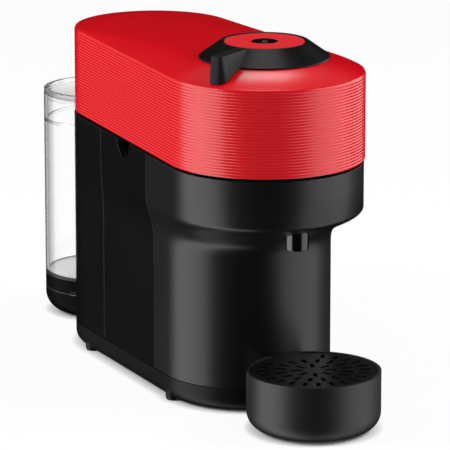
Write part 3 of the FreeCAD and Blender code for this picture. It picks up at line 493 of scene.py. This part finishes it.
# Lock dial with its fin-shaped lever, the red disc and the button
dial = {
    "low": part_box("lock_dial")[1].z - 11.0 * mm,
    "top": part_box("lock_dial")[1].z,
    "skirtLow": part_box("lock_dial")[0].z,
    "footR": 44.0 * mm,
    "rimR": 30.3 * mm,
    "boreR": 27.4 * mm,
    "skirtR": 38.0 * mm,
    "skirtDrop": 3.2 * mm,
    "wall": 2.5 * mm,
    "footTall": 0.7 * mm,
    "rimDrop": 0.5 * mm,
    "rimChamfer": 0.7 * mm,
    "boreChamfer": 0.6 * mm,
    "boreDeep": 3.5 * mm,
    "edge": 0.5 * mm,
    "steps": 128,
    "finTurn": math.radians(-147.5),
    "finWidth": 8.6 * mm,
    "finTipR": 65.2 * mm,
    "finDraft": 2.1 * mm,
    "finFlare": 3.4 * mm,
    "finHollow": 1.15,
    "finLift": 0.75 * mm,
    "finRound": (6.0 * mm, 2.4 * mm),  # outer corner, at the foot and at the top
    "finCorner": 1.9 * mm,
    "finEdge": 1.0 * mm,
    "finEdgeAngle": 50,
    "finBite": 0.2 * mm,  # how far its root reaches into the dial's rim
    "finSteps": 12,
    "finSideSteps": 8,
    "finTurnSteps": 10,
}


def makeDial():
    top = dial["top"]
    low = dial["low"]
    wall = dial["wall"]
    profile = [
        (dial["footR"], low),
        (dial["footR"], low + dial["footTall"]),
        (dial["rimR"], top - dial["rimDrop"]),
        (dial["rimR"] - dial["rimChamfer"], top),
        (dial["boreR"] + dial["boreChamfer"], top),
        (dial["boreR"], top - dial["boreChamfer"]),
        (dial["boreR"], top - dial["boreDeep"]),
        (dial["boreR"] + wall, top - dial["boreDeep"]),
        (dial["skirtR"] - wall, low + dial["skirtDrop"]),
        (dial["skirtR"] - wall, dial["skirtLow"]),
        (dial["skirtR"], dial["skirtLow"]),
        (dial["skirtR"], low),
    ]
    turned = spun(profile, dialY, dial["steps"])
    piece = newPiece("lockDial", turned, blackSatin, "lock_dial", ["lock_dial"])
    soften(piece, dial["edge"])


def finRow(share):  # the lever's outline seen from above, at a share of its height
    half = dial["finWidth"] / 2
    root = dial["rimR"] - dial["finBite"]
    tip = dial["finTipR"] - dial["finDraft"] * share
    wide = half + dial["finFlare"] * (1 - share) ** dial["finHollow"]
    foot, top = dial["finRound"]
    bend = foot + (top - foot) * share
    small = dial["finCorner"]
    sides = dial["finSideSteps"]
    quarter = [math.pi / 2 * i / dial["finTurnSteps"] for i in range(dial["finTurnSteps"] + 1)]
    outline = [(root, -half)] + [(root + (tip - small - root) * i / sides, -half) for i in range(1, sides)]
    outline += [(tip - small + small * math.sin(t), -half + small - small * math.cos(t)) for t in quarter]
    outline += [(tip - bend + bend * math.cos(t), wide - bend + bend * math.sin(t)) for t in quarter]
    outline += [(tip - bend + (root - tip + bend) * i / sides, wide) for i in range(1, sides + 1)]
    span = plan["frontR"] - edgeIn - cap["seatR"]
    row = []
    for r, t in outline:
        climb = (plan["frontR"] - edgeIn - r) / span
        bow = cap["crownBulge"] * 4 * climb * (1 - climb)
        low = edgeZ + dial["finLift"] + cap["crownRise"] * climb + max(bow, 0)
        row.append(Vector((r, dialY + t, low + (dial["top"] - low) * share)))
    return row


def makeFin():
    bm = skin([finRow(i / dial["finSteps"]) for i in range(dial["finSteps"] + 1)])
    bmesh.ops.holes_fill(bm, edges=bm.edges)
    turn = Matrix.Rotation(dial["finTurn"], 3, "Z")
    bmesh.ops.rotate(bm, verts=bm.verts, cent=(0, dialY, 0), matrix=turn)
    piece = newPiece("lockFin", closeUp(bm), blackLever, "lock_dial", ["lock_lever"])
    soften(piece, dial["finEdge"], 4, dial["finEdgeAngle"])


disc = {
    "top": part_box("dial_disc")[1].z,
    "outR": 27.0 * mm,
    "inR": 9.3 * mm,
    "thick": 2.4 * mm,
    "buttonR": 9.0 * mm,
    "buttonTop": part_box("brew_button")[1].z,
    "buttonLow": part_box("brew_button")[0].z,
    "buttonDish": 0.5 * mm,
    "buttonRim": 0.8 * mm,
    "buttonEdge": 0.4 * mm,
    "buttonTall": 4.7 * mm,
    "stemR": 4.0 * mm,
    "edge": 0.3 * mm,
    "markR": 1.6 * mm,
    "markInner": 0.82,
    "markLift": 0.12 * mm,
    "markThick": 0.15 * mm,
}


def makeDisc():
    top = disc["top"]
    profile = [(disc["inR"], top), (disc["outR"], top), (disc["outR"], top - disc["thick"]),
               (disc["inR"], top - disc["thick"])]
    piece = newPiece("dialDisc", spun(profile, dialY), redDisc, "head", ["dial_disc"])
    soften(piece, disc["edge"])


def makeButton():
    top = disc["buttonTop"]
    r = disc["buttonR"]
    dish = disc["buttonDish"]
    under = top - disc["buttonTall"]
    profile = [(0, top - dish), (r * 0.5, top - dish * 0.75), (r - disc["buttonRim"], top),
               (r, top - disc["buttonEdge"]), (r, under), (disc["stemR"], under),
               (disc["stemR"], disc["buttonLow"]), (0, disc["buttonLow"])]
    turned = spun(profile, dialY, 64, ring=False)
    piece = newPiece("brewButton", turned, blackGloss, "brew_button", ["brew_button"])
    soften(piece, disc["edge"])


def makeMark():  # a plain ring on the button
    bm = bmesh.new()
    bmesh.ops.create_circle(bm, cap_ends=False, segments=32, radius=disc["markR"])
    height = disc["buttonTop"] - disc["buttonDish"] + disc["markLift"]
    bmesh.ops.translate(bm, verts=bm.verts, vec=(0, dialY, height))
    grown = bmesh.ops.extrude_edge_only(bm, edges=list(bm.edges))["geom"]
    inner = disc["markInner"]
    bmesh.ops.scale(bm, vec=(inner, inner, 1), verts=vertsOf(grown), space=Matrix.Translation((0, -dialY, 0)))
    mark = newPiece("buttonMark", closeUp(bm), markGrey, "brew_button")
    thicken(mark, disc["markThick"])


makeDial()
makeFin()
makeDisc()
makeButton()
makeMark()
print("dial, lever, disc and button made")


# Black body: collar, cove and column, split into four shells by two seams
body = {
    "low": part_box("left_panel")[0].z,
    "top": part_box("left_panel")[1].z,
    "frontSeam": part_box("front_housing")[1].y,
    "panelFront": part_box("left_panel")[0].y,
    "panelBack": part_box("left_panel")[1].y,
    "rearSeam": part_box("rear_shell")[0].y,
    "middleY": 10 * mm,
    "wall": 2.5 * mm,
    "lip": 10.5 * mm,
    "plainHeight": 40 * mm,
    "collarHeight": 12 * mm,
    "coveDrop": 31.4 * mm,
    "coveTail": 13.0 * mm,
    "coveHeight": 19.5 * mm,
    "coveBend": 1.7,
    "coveSteps": 24,
    "endSteps": 4,
    "panelSteps": 12,
    "seamGap": 0.3 * mm,
    "edge": 0.35 * mm,
    "scoopX": 66 * mm,
    "scoopY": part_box("left_panel")[0].y + 41.4 * mm,
    "scoopR": 11.0 * mm,
    "scoopDepth": 8.0 * mm,
    "scoopCut": 40 * mm,
    "scoopRound": (1.5 * mm, 0.4 * mm),  # reach of the corner at the cup's bottom, and at its middle
    "scoopWall": 1.2 * mm,
}


def bodyLevels():  # height, share of the way from collar to column, inset
    coveTop = body["top"] - body["coveDrop"]
    coveSpan = body["coveHeight"] + body["coveTail"]
    levels = [(body["low"] + body["seamGap"], 1.0, 0.0), (body["low"] + body["plainHeight"], 1.0, 0.0)]
    for i in range(body["coveSteps"] + 1):
        t = i / body["coveSteps"]
        bend = t ** body["coveBend"]
        levels.append((coveTop - coveSpan * (1 - t), 1 - bend * bend * (3 - 2 * bend), 0.0))
    levels.append((body["top"] - body["collarHeight"], 0.0, 0.0))
    levels.append((body["top"], 0.0, 0.0))
    levels.append((body["top"], 0.0, body["lip"]))
    return levels


def bodyEnds(share, inset):  # front centre, front radius and rear radius at one level
    headR = plan["frontR"] - plan["bodyInset"]
    frontR = headR + (plan["columnR"] - headR) * share - inset
    return dialY + plan["setback"] * share, frontR, plan["bodyRearR"] - inset


def sidePoint(level, side, y):
    z, share, inset = level
    frontY, frontR, rearR = bodyEnds(share, inset)
    lean = tilt(frontY, frontR, rearR)
    half = (frontR - math.sin(lean) * (y - frontY)) / math.cos(lean)
    return Vector((side * half, y, z))


def withEnds(start, arc, end):  # an arc with its straight runs to the seams
    steps = body["endSteps"]
    return [start] + between(start, arc[0], steps) + arc + between(arc[-1], end, steps) + [end]


def frontRow(level):
    z, share, inset = level
    frontY, frontR, rearR = bodyEnds(share, inset)
    lean = tilt(frontY, frontR, rearR)
    arc = arcPoints(frontY, frontR, math.pi - lean, 2 * math.pi + lean, plan["frontSteps"], z)
    left = sidePoint(level, -1, body["frontSeam"])
    right = sidePoint(level, 1, body["frontSeam"])
    return withEnds(left, arc, right)


def rearRow(level):
    z, share, inset = level
    frontY, frontR, rearR = bodyEnds(share, inset)
    lean = tilt(frontY, frontR, rearR)
    arc = arcPoints(rearY, rearR, lean, math.pi - lean, plan["rearSteps"], z)
    right = sidePoint(level, 1, body["rearSeam"])
    left = sidePoint(level, -1, body["rearSeam"])
    return withEnds(right, arc, left)


def panelRow(level, side):
    front = sidePoint(level, side, body["panelFront"])
    back = sidePoint(level, side, body["panelBack"])
    row = [front] + between(front, back, body["panelSteps"]) + [back]
    return row if side > 0 else row[::-1]


def bodyShell(name, rows, material, bodyName, replaced):
    piece = newPiece(name, skin(rows, closed=False), material, bodyName, replaced)
    middle = piece.data.polygons[len(piece.data.polygons) // 3]
    outward = middle.center - Vector((0, body["middleY"], middle.center.z))
    if middle.normal.dot(outward) < 0:
        piece.data.flip_normals()
    thicken(piece, body["wall"])
    return piece


def scoopCutter(side):
    bm = bmesh.new()
    r = body["scoopR"]
    bmesh.ops.create_cone(bm, cap_ends=True, segments=64, radius1=r, radius2=r, depth=body["scoopCut"])
    bmesh.ops.rotate(bm, verts=bm.verts, cent=(0, 0, 0), matrix=Matrix.Rotation(math.pi / 2, 3, "Y"))
    bmesh.ops.translate(bm, verts=bm.verts, vec=(side * body["scoopX"], body["scoopY"], body["top"]))
    return closeUp(bm)


def scoopCup(side):
    y = body["scoopY"]
    top = body["top"]
    outX = sidePoint((top, 0.0, body["wall"]), side, y).x
    inX = sidePoint((top, 0.0, body["scoopDepth"]), side, y).x
    r = body["scoopR"]
    far, near = body["scoopRound"]
    profile = [(inX, 0), (inX, r - far), (inX + side * near, r - near), (inX + side * far, r), (outX, r)]
    bm = bmesh.new()
    verts = [bm.verts.new((x, y + d, top)) for x, d in profile]
    edges = [bm.edges.new(pair) for pair in zip(verts, verts[1:])]
    bmesh.ops.spin(bm, geom=verts + edges, cent=(0, y, top), axis=(1, 0, 0), angle=-math.pi, steps=40)
    name = "scoopCup" + ("Right" if side > 0 else "Left")
    solid = newPiece(name, closeUp(bm), blackMatt, "base").modifiers.new("wall", "SOLIDIFY")
    solid.thickness = body["scoopWall"]
    solid.offset = 0


def makeBody():
    levels = bodyLevels()
    rows = [frontRow(level) for level in levels]
    soften(bodyShell("frontHousing", rows, blackFront, "drawer", ["front_housing"]), body["edge"])
    rows = [rearRow(level) for level in levels]
    soften(bodyShell("rearShell", rows, blackShell, "base", ["rear_shell"]), body["edge"])
    for side, name, replaced in ((-1, "sidePanelLeft", "left_panel"), (1, "sidePanelRight", "right_panel")):
        rows = [panelRow(level, side) for level in levels]
        panel = bodyShell(name, rows, blackShell, "base", [replaced])
        carve(panel, scoopCutter(side))
        soften(panel, body["edge"])
        scoopCup(side)


makeBody()
print("body shells made")


# Clear water tank with its lid, dark base, pale floor and latch
tank = {
    "y": (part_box("tank_vessel")[0].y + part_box("tank_vessel")[1].y) / 2,
    "top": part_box("tank_vessel")[1].z,
    "r": 39.2 * mm,
    "wall": 2.0 * mm,
    "steps": 128,
    "wallEdge": 0.4 * mm,
    "wallEdgeAngle": 60,
    "beadZ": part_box("tank_vessel")[1].z - 19.6 * mm,
    "beadR": 1.0 * mm,
    "beadSteps": 8,
    "lidTop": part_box("tank_lid")[1].z,
    "lidSkirt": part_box("tank_lid")[0].z,
    "lidGap": 0.3 * mm,
    "lidWall": 2.4 * mm,
    "lidSlope": (1.0 * mm, 0.2 * mm),  # out at the top and in at the plate
    "lidPlate": (3.0 * mm, 5.0 * mm),  # top and underside, below the lid's top
    "lidEdge": 0.5 * mm,
    "baseLow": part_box("tank_base")[0].z,
    "baseTop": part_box("tank_base")[1].z,
    "floorTop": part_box("tank_floor")[1].z,
    "plate": 3.0 * mm,
    "bossR": 7.0 * mm,
    "stemR": 3.3 * mm,
    "headR": 6.0 * mm,
    "baseEdge": 0.2 * mm,
    "floorEdge": 0.3 * mm,
    "bond": 0.02 * mm,  # how far the floor is bonded into the wall, and the plate into the lid
    "lip": 2.4 * mm,  # foot of the clear wall, above the base, drawn as a grey ring of painted light
    "line": 0.7 * mm,  # edge of the clear wall, under the base, drawn as a grey ring of painted highlight
    "latchTurn": math.radians(-53),
    "latchWide": 5.0 * mm,
    "latchTall": 5.4 * mm,
    "latchDeep": 1.6 * mm,
    "latchEdge": 0.2 * mm,
    "ledgeTall": 0.7 * mm,
    "ledgeProud": 0.3 * mm,
    "lineProud": 0.2 * mm,
}


def tankRing(name, profile, material, replaced=(), bodyName="water_tank", ring=True):
    return newPiece(name, spun(profile, tank["y"], tank["steps"], ring), material, bodyName, replaced)


def makeVessel():
    inR = tank["r"] - tank["wall"]
    turns = [math.pi * (1 - i / tank["beadSteps"]) for i in range(tank["beadSteps"] + 1)]
    bead = [(inR - tank["beadR"] * math.sin(t), tank["beadZ"] - tank["beadR"] * math.cos(t)) for t in turns]
    low = tank["baseTop"] + tank["lip"]
    profile = [(tank["r"], low), (tank["r"], tank["top"]), (inR, tank["top"])] + bead + [(inR, low)]
    piece = tankRing("tankVessel", profile, clearTank, ["tank_vessel"])
    soften(piece, tank["wallEdge"], angle=tank["wallEdgeAngle"])


def makeLid():
    r = tank["r"]
    top = tank["lidTop"]
    under = tank["lidSkirt"]
    rim = tank["top"] + tank["lidGap"]
    outer = r - tank["wall"] - tank["lidGap"]
    inner = outer - tank["lidWall"]
    outward, inward = tank["lidSlope"]
    plateTop, plateLow = (top - drop for drop in tank["lidPlate"])
    profile = [(inner, under), (outer, under), (outer, rim), (r, rim), (r, top), (inner + outward, top),
               (inner - inward, plateTop), (inner - inward, plateLow)]
    piece = tankRing("tankLid", profile, clearRim, ["tank_lid"], "tank_lid")
    soften(piece, tank["lidEdge"])
    inner -= inward - tank["bond"]
    profile = [(0, plateLow), (inner, plateLow), (inner, plateTop), (0, plateTop)]
    tankRing("lidPlate", profile, clearLid, (), "tank_lid", ring=False)


def makeTankBase():
    r = tank["r"]
    low = tank["baseLow"]
    top = tank["baseTop"]
    plate = tank["plate"]
    foot = top + tank["lip"]
    line = low + tank["line"]
    profile = [(tank["stemR"], low), (tank["bossR"], low), (tank["bossR"], top - plate),
               (r - plate, top - plate), (r - plate, line), (r, line), (r, top), (tank["stemR"], top)]
    piece = tankRing("tankBase", profile, blackMatt, ["tank_base"])
    soften(piece, tank["baseEdge"])
    # painted light: grey rings stand for the lit ends of the clear wall above and under the base
    for name, start, end, thick in (("wallFoot", top, foot, tank["wall"]), ("wallEdge", low, line, plate)):
        profile = [(r - thick, start), (r, start), (r, end), (r - thick, end)]
        tankRing(name, profile, smokedLip)
    r -= tank["wall"] - tank["bond"]
    profile = [(tank["headR"], top), (r, top), (r, tank["floorTop"]), (tank["headR"], tank["floorTop"])]
    piece = tankRing("tankFloor", profile, paleFloor, ["tank_floor"])
    soften(piece, tank["floorEdge"])


def latchBlock(name, low, high, proud, material):
    bm = bmesh.new()
    bmesh.ops.create_cube(bm, size=1.0)
    bmesh.ops.scale(bm, vec=(tank["latchWide"], tank["latchDeep"], high - low), verts=bm.verts)
    bmesh.ops.translate(bm, verts=bm.verts, vec=(0, -tank["r"] - proud, (low + high) / 2))
    turn = Matrix.Rotation(tank["latchTurn"], 3, "Z")
    bmesh.ops.rotate(bm, verts=bm.verts, cent=(0, 0, 0), matrix=turn)
    bmesh.ops.translate(bm, verts=bm.verts, vec=(0, tank["y"], 0))
    soften(newPiece(name, closeUp(bm), material, "water_tank"), tank["latchEdge"])


def makeLatch():  # a block with two ledges on the tank's dark band
    low = tank["baseLow"]
    ledge = low + tank["ledgeTall"]
    line = ledge + 2 * tank["ledgeTall"]
    latchBlock("tankLatch", low, low + tank["latchTall"], 0.0, blackMatt)
    latchBlock("latchLedge", low, ledge, tank["ledgeProud"], latchGrey)
    # painted highlight: a grey line standing for the light bar on the latch
    latchBlock("latchLine", line, line + tank["ledgeTall"], tank["lineProud"], smokedLip)


makeVessel()
makeLid()
makeTankBase()
makeLatch()
print("tank made")


# Skirt under the base, its feet as bumps, and the rounded underside of the dock
skirt = {
    "top": body["low"] - 0.15 * mm,
    "proud": 0.06 * mm,
    "low": 0.5 * mm,
    "round": 8.5 * mm,
    "rim": 2.5 * mm,
    "thick": 1.5 * mm,
    "sunk": 0.2 * mm,
    "plateLow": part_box("base_plate")[0].z,
    "steps": 12,
    "sole": [(0, 0), (4.4, 0), (5.0, 0.35), (5.4, 1.4)],  # radius and height in mm, as in the next two
    "bump": [(5.6, 3.0), (5.4, 4.8), (4.8, 6.4), (4.0, 7.6), (0, 7.6)],
    "pad": [(5.4, 3.0), (0, 3.0)],
    "footSteps": 48,
    "footFront": (54.3 * mm, dialY + plan["setback"]),
    "footRear": (51.5 * mm, rearY - 5.5 * mm),
    "footDock": (0.0, tank["y"] + 11.0 * mm),
    "dockRound": 14.0 * mm,
    "dockLow": 0.2 * mm,
    "dockCadLow": 2.0 * mm,
    "dockSkin": 1.2 * mm,
}


def makeSkirt():
    r = skirt["round"]
    low = skirt["low"]
    turns = [math.pi / 2 * i / skirt["steps"] for i in range(skirt["steps"] + 1)]
    rows = [columnRow(skirt["top"], skirt["thick"]), columnRow(skirt["top"], -skirt["proud"])]
    rows += [columnRow(low + r * (1 - math.sin(t)), r * (1 - math.cos(t)) - skirt["proud"]) for t in turns]
    rows.append(columnRow(low, r + skirt["rim"]))
    rows.append(columnRow(skirt["plateLow"] + skirt["sunk"], r + skirt["rim"]))
    newPiece("baseSkirt", closeUp(skin(rows + rows[:1])), blackBase, "base")


def makeDockUnderside():
    turns = [math.pi / 2 * i / skirt["steps"] for i in range(skirt["steps"] + 1)]
    r = skirt["dockRound"]
    low = skirt["dockLow"]
    middle = tank["r"] - r
    inR = r - skirt["dockSkin"]
    outer = [(middle + r * math.sin(t), low + r * (1 - math.cos(t))) for t in turns]
    inner = [(middle + inR * math.sin(t), skirt["dockCadLow"] + r - inR * math.cos(t)) for t in turns[::-1]]
    profile = [(0, low)] + outer + inner + [(0, inner[-1][1])]
    tankRing("dockUnderside", profile, blackMatt, (), "base", ring=False)


def makeFeet():  # four bumps in the skirt and a pad under the dock
    feet = bmesh.new()
    pairs = (skirt["footFront"], skirt["footRear"])
    places = [(side * x, y, skirt["bump"]) for x, y in pairs for side in (-1, 1)]
    for x, y, profile in places + [(*skirt["footDock"], skirt["pad"])]:
        profile = [(r * mm, z * mm) for r, z in skirt["sole"] + profile]
        foot = spun(profile, y, skirt["footSteps"], ring=False)
        bmesh.ops.translate(foot, verts=foot.verts, vec=(x, 0, 0))
        mesh = bpy.data.meshes.new("foot")
        foot.to_mesh(mesh)
        foot.free()
        feet.from_mesh(mesh)
        bpy.data.meshes.remove(mesh)
    newPiece("rubberFeet", feet, blackBase, "base", ["rubber_feet"])


makeSkirt()
makeDockUnderside()
makeFeet()
print("skirt and feet made")


# CAD nodes that show as they are get the finish of their piece
finishes = {
    blackShell: ["top_cover", "cord_gland"],
    blackTray: ["drip_tray"],
    blackBase: ["base_plate"],
    blackMatt: ["tank_dock"],
    blackSatin: ["drip_grid", "tank_valve"],
    outletGloss: ["coffee_outlet"],
    darkFrame: ["chassis", "head_frame", "brew_chamber", "capsule_bin", "capsule_holder", "button_bracket",
                "lock_collar", "clamp_flange", "button_switch"],
    blackRubber: ["dock_seal", "pump_cradle", "drive_belt"],
    siliconeHose: ["suction_hose", "pressure_hose", "hot_hose"],
    steel: ["holder_bearing", "spindle_bearing", "hinge_pin", "base_screws", "head_screws",
            "injection_needle", "motor_rotor", "spindle_pulley"],
    motorCan: ["drive_motor", "pump"],
    castAluminium: ["thermoblock"],
    boardGreen: ["control_board"],
}
for material, names in finishes.items():
    for name in names:
        slots = frame["nodes"][name].data.materials
        slots.clear()
        slots.append(material)
print("CAD nodes finished")


# White floor, the light that each kind of ray sees, two soft boxes and the camera
stage = {
    "paper": (0.92, 0.92, 0.92, 1.0),
    "paperRough": 0.9,
    "paperSpecular": 0.1,
    "floorWhite": 0.92,  # share of plain white where nothing stands close
    "contact": 7 * mm,  # how far the shadow under the edge reaches
    "contactSamples": 16,
    "ambient": 0.43,
    "size": 40.0,
    "middle": (0.0, -0.03, 0.12),
    "watts": 4,  # per square metre of a soft box, at brightness 1
    "boxes": {  # azimuth, elevation, distance, width, height, brightness
        "leftBox": (-110, 30, 1.6, 0.8, 0.8, 7.6),
        "rightBox": (60, 37, 1.6, 0.8, 0.8, 7.2),
    },
    "banks": {  # what gloss mirrors: azimuth, half width, lowest, highest, soft edge, brightness
        "left": (-107, 27, -90, 30, 4, 2.0),
        "leftRear": (-152, 10, 8, 30, 8, 0.6),
        "right": (54, 29, -90, 0, 10, 1.05),
        "rightOver": (73, 39, 2, 20, 12, 1.95),
        "rear": (150, 20, 44, 64, 24, 0.2),
        "glow": (153, 7, 47, 52, 8, 3.3),
        "over": (0, 180, 76, 90, 10, 2.0),
    },
}


def whiteRays(tree):  # the rays that show the white background, and those that gloss sends out
    paths = tree.nodes.new("ShaderNodeLightPath")
    camera = Wire(tree, paths.outputs["Is Camera Ray"])
    through = Wire(tree, paths.outputs["Is Transmission Ray"])
    glossy = Wire(tree, paths.outputs["Is Glossy Ray"])
    return camera.sum("MAXIMUM", camera, through), glossy * (1 - through)


def makeFloor():
    bm = bmesh.new()
    bmesh.ops.create_grid(bm, x_segments=2, y_segments=2, size=stage["size"])
    mesh = bpy.data.meshes.new("floor")
    bm.to_mesh(mesh)
    bm.free()
    floor = bpy.data.objects.new("floor", mesh)
    scene.collection.objects.link(floor)
    floor.visible_glossy = False
    material = bpy.data.materials.new("floorPaper")
    material.use_nodes = True
    tree = material.node_tree
    paper = tree.nodes["Principled BSDF"]
    paper.inputs["Base Color"].default_value = stage["paper"]
    paper.inputs["Roughness"].default_value = stage["paperRough"]
    paper.inputs["Specular IOR Level"].default_value = stage["paperSpecular"]
    white = tree.nodes.new("ShaderNodeEmission")
    seen = whiteRays(tree)[0]
    clear = seen.node("ShaderNodeAmbientOcclusion", {"samples": stage["contactSamples"]},
                      {"Distance": stage["contact"]}, out="AO")
    share = seen * clear * clear * stage["floorWhite"]
    mix = seen.node("ShaderNodeMixShader", None, {0: share, 1: Wire(tree, paper.outputs[0]),
                                                  2: Wire(tree, white.outputs[0])})
    mix.into(tree.nodes["Material Output"], "Surface")
    mesh.materials.append(material)


def makeWorld():
    world = bpy.data.worlds.new("studio")
    scene.world = world
    world.use_nodes = True
    tree = world.node_tree
    shade = tree.nodes["Background"]
    shade.inputs["Color"].default_value = (1, 1, 1, 1)
    world.cycles.sampling_method = "NONE"  # each kind of ray then sees its own light
    seen, glossy = whiteRays(tree)
    sky = Wire(tree, tree.nodes.new("ShaderNodeTexCoord").outputs["Generated"])
    x, y, z = (sky.node("ShaderNodeSeparateXYZ", None, {0: sky}, out=axis) for axis in range(3))
    around = sky.sum("ARCTAN2", x, y * -1) * math.degrees(1)
    upward = sky.sum("ARCSINE", z, 0.0) * math.degrees(1)
    studio = sum(bank(around, upward, *settings) for settings in stage["banks"].values())
    ambient = stage["ambient"]
    (seen * (1 - ambient) + glossy * (studio - ambient) + ambient).into(shade, "Strength")


def faded(value, soft, edge, inside):  # 1 on the inside of an edge, fading to 0 over a soft width
    outside = edge + soft if inside < edge else edge - soft
    return value.node("ShaderNodeMapRange", {"interpolation_type": "SMOOTHSTEP"},
                      {"Value": value, "From Min": outside, "From Max": edge})


def bank(around, upward, azimuth, half, low, high, soft, bright):
    turned = around.sum("MODULO", around - azimuth + 540, 360.0) - 180  # from -180 to 180 degrees
    sideways = turned.sum("ABSOLUTE", turned, 0.0)
    middle = (low + high) / 2
    across = faded(sideways, soft, half, 0)
    return across * faded(upward, soft, low, middle) * faded(upward, soft, high, middle) * bright


def towards(azimuth, elevation):
    a = math.radians(azimuth)
    e = math.radians(elevation)
    return Vector((math.sin(a) * math.cos(e), -math.cos(a) * math.cos(e), math.sin(e)))


def softBox(name, azimuth, elevation, distance, width, height, bright):
    lamp = bpy.data.lights.new(name, "AREA")
    lamp.shape = "RECTANGLE"
    lamp.size = width
    lamp.size_y = height
    lamp.energy = stage["watts"] * width * height * bright
    back = towards(azimuth, elevation)
    holder = bpy.data.objects.new(name, lamp)
    holder.location = Vector(stage["middle"]) + back * distance
    holder.rotation_euler = back.to_track_quat("Z", "Y").to_euler()
    holder.visible_glossy = False  # gloss mirrors the banks instead
    scene.collection.objects.link(holder)


photoCamera = {
    "azimuth": -26.488,
    "elevation": 14.011,
    "distance": 2.7426,
    "target": (0.4 * mm, -34.7 * mm, 109.4 * mm),
    "focalPixels": 3974.8,
    "framePixels": 450,
    "sensor": 36.0,
    "farthest": 50.0,
}


def makeCamera():
    back = towards(photoCamera["azimuth"], photoCamera["elevation"])
    camera = bpy.data.cameras.new("photoCamera")
    camera.sensor_fit = "HORIZONTAL"
    camera.sensor_width = photoCamera["sensor"]
    camera.lens = photoCamera["focalPixels"] / photoCamera["framePixels"] * camera.sensor_width
    camera.clip_end = photoCamera["farthest"]
    holder = bpy.data.objects.new("photoCamera", camera)
    holder.location = Vector(photoCamera["target"]) + back * photoCamera["distance"]
    holder.rotation_euler = back.to_track_quat("Z", "Y").to_euler()
    scene.collection.objects.link(holder)
    scene.camera = holder


makeFloor()
makeWorld()
makeCamera()
for name, settings in stage["boxes"].items():
    softBox(name, *settings)
scene.view_settings.view_transform = "Standard"
print("stage, light and camera made")
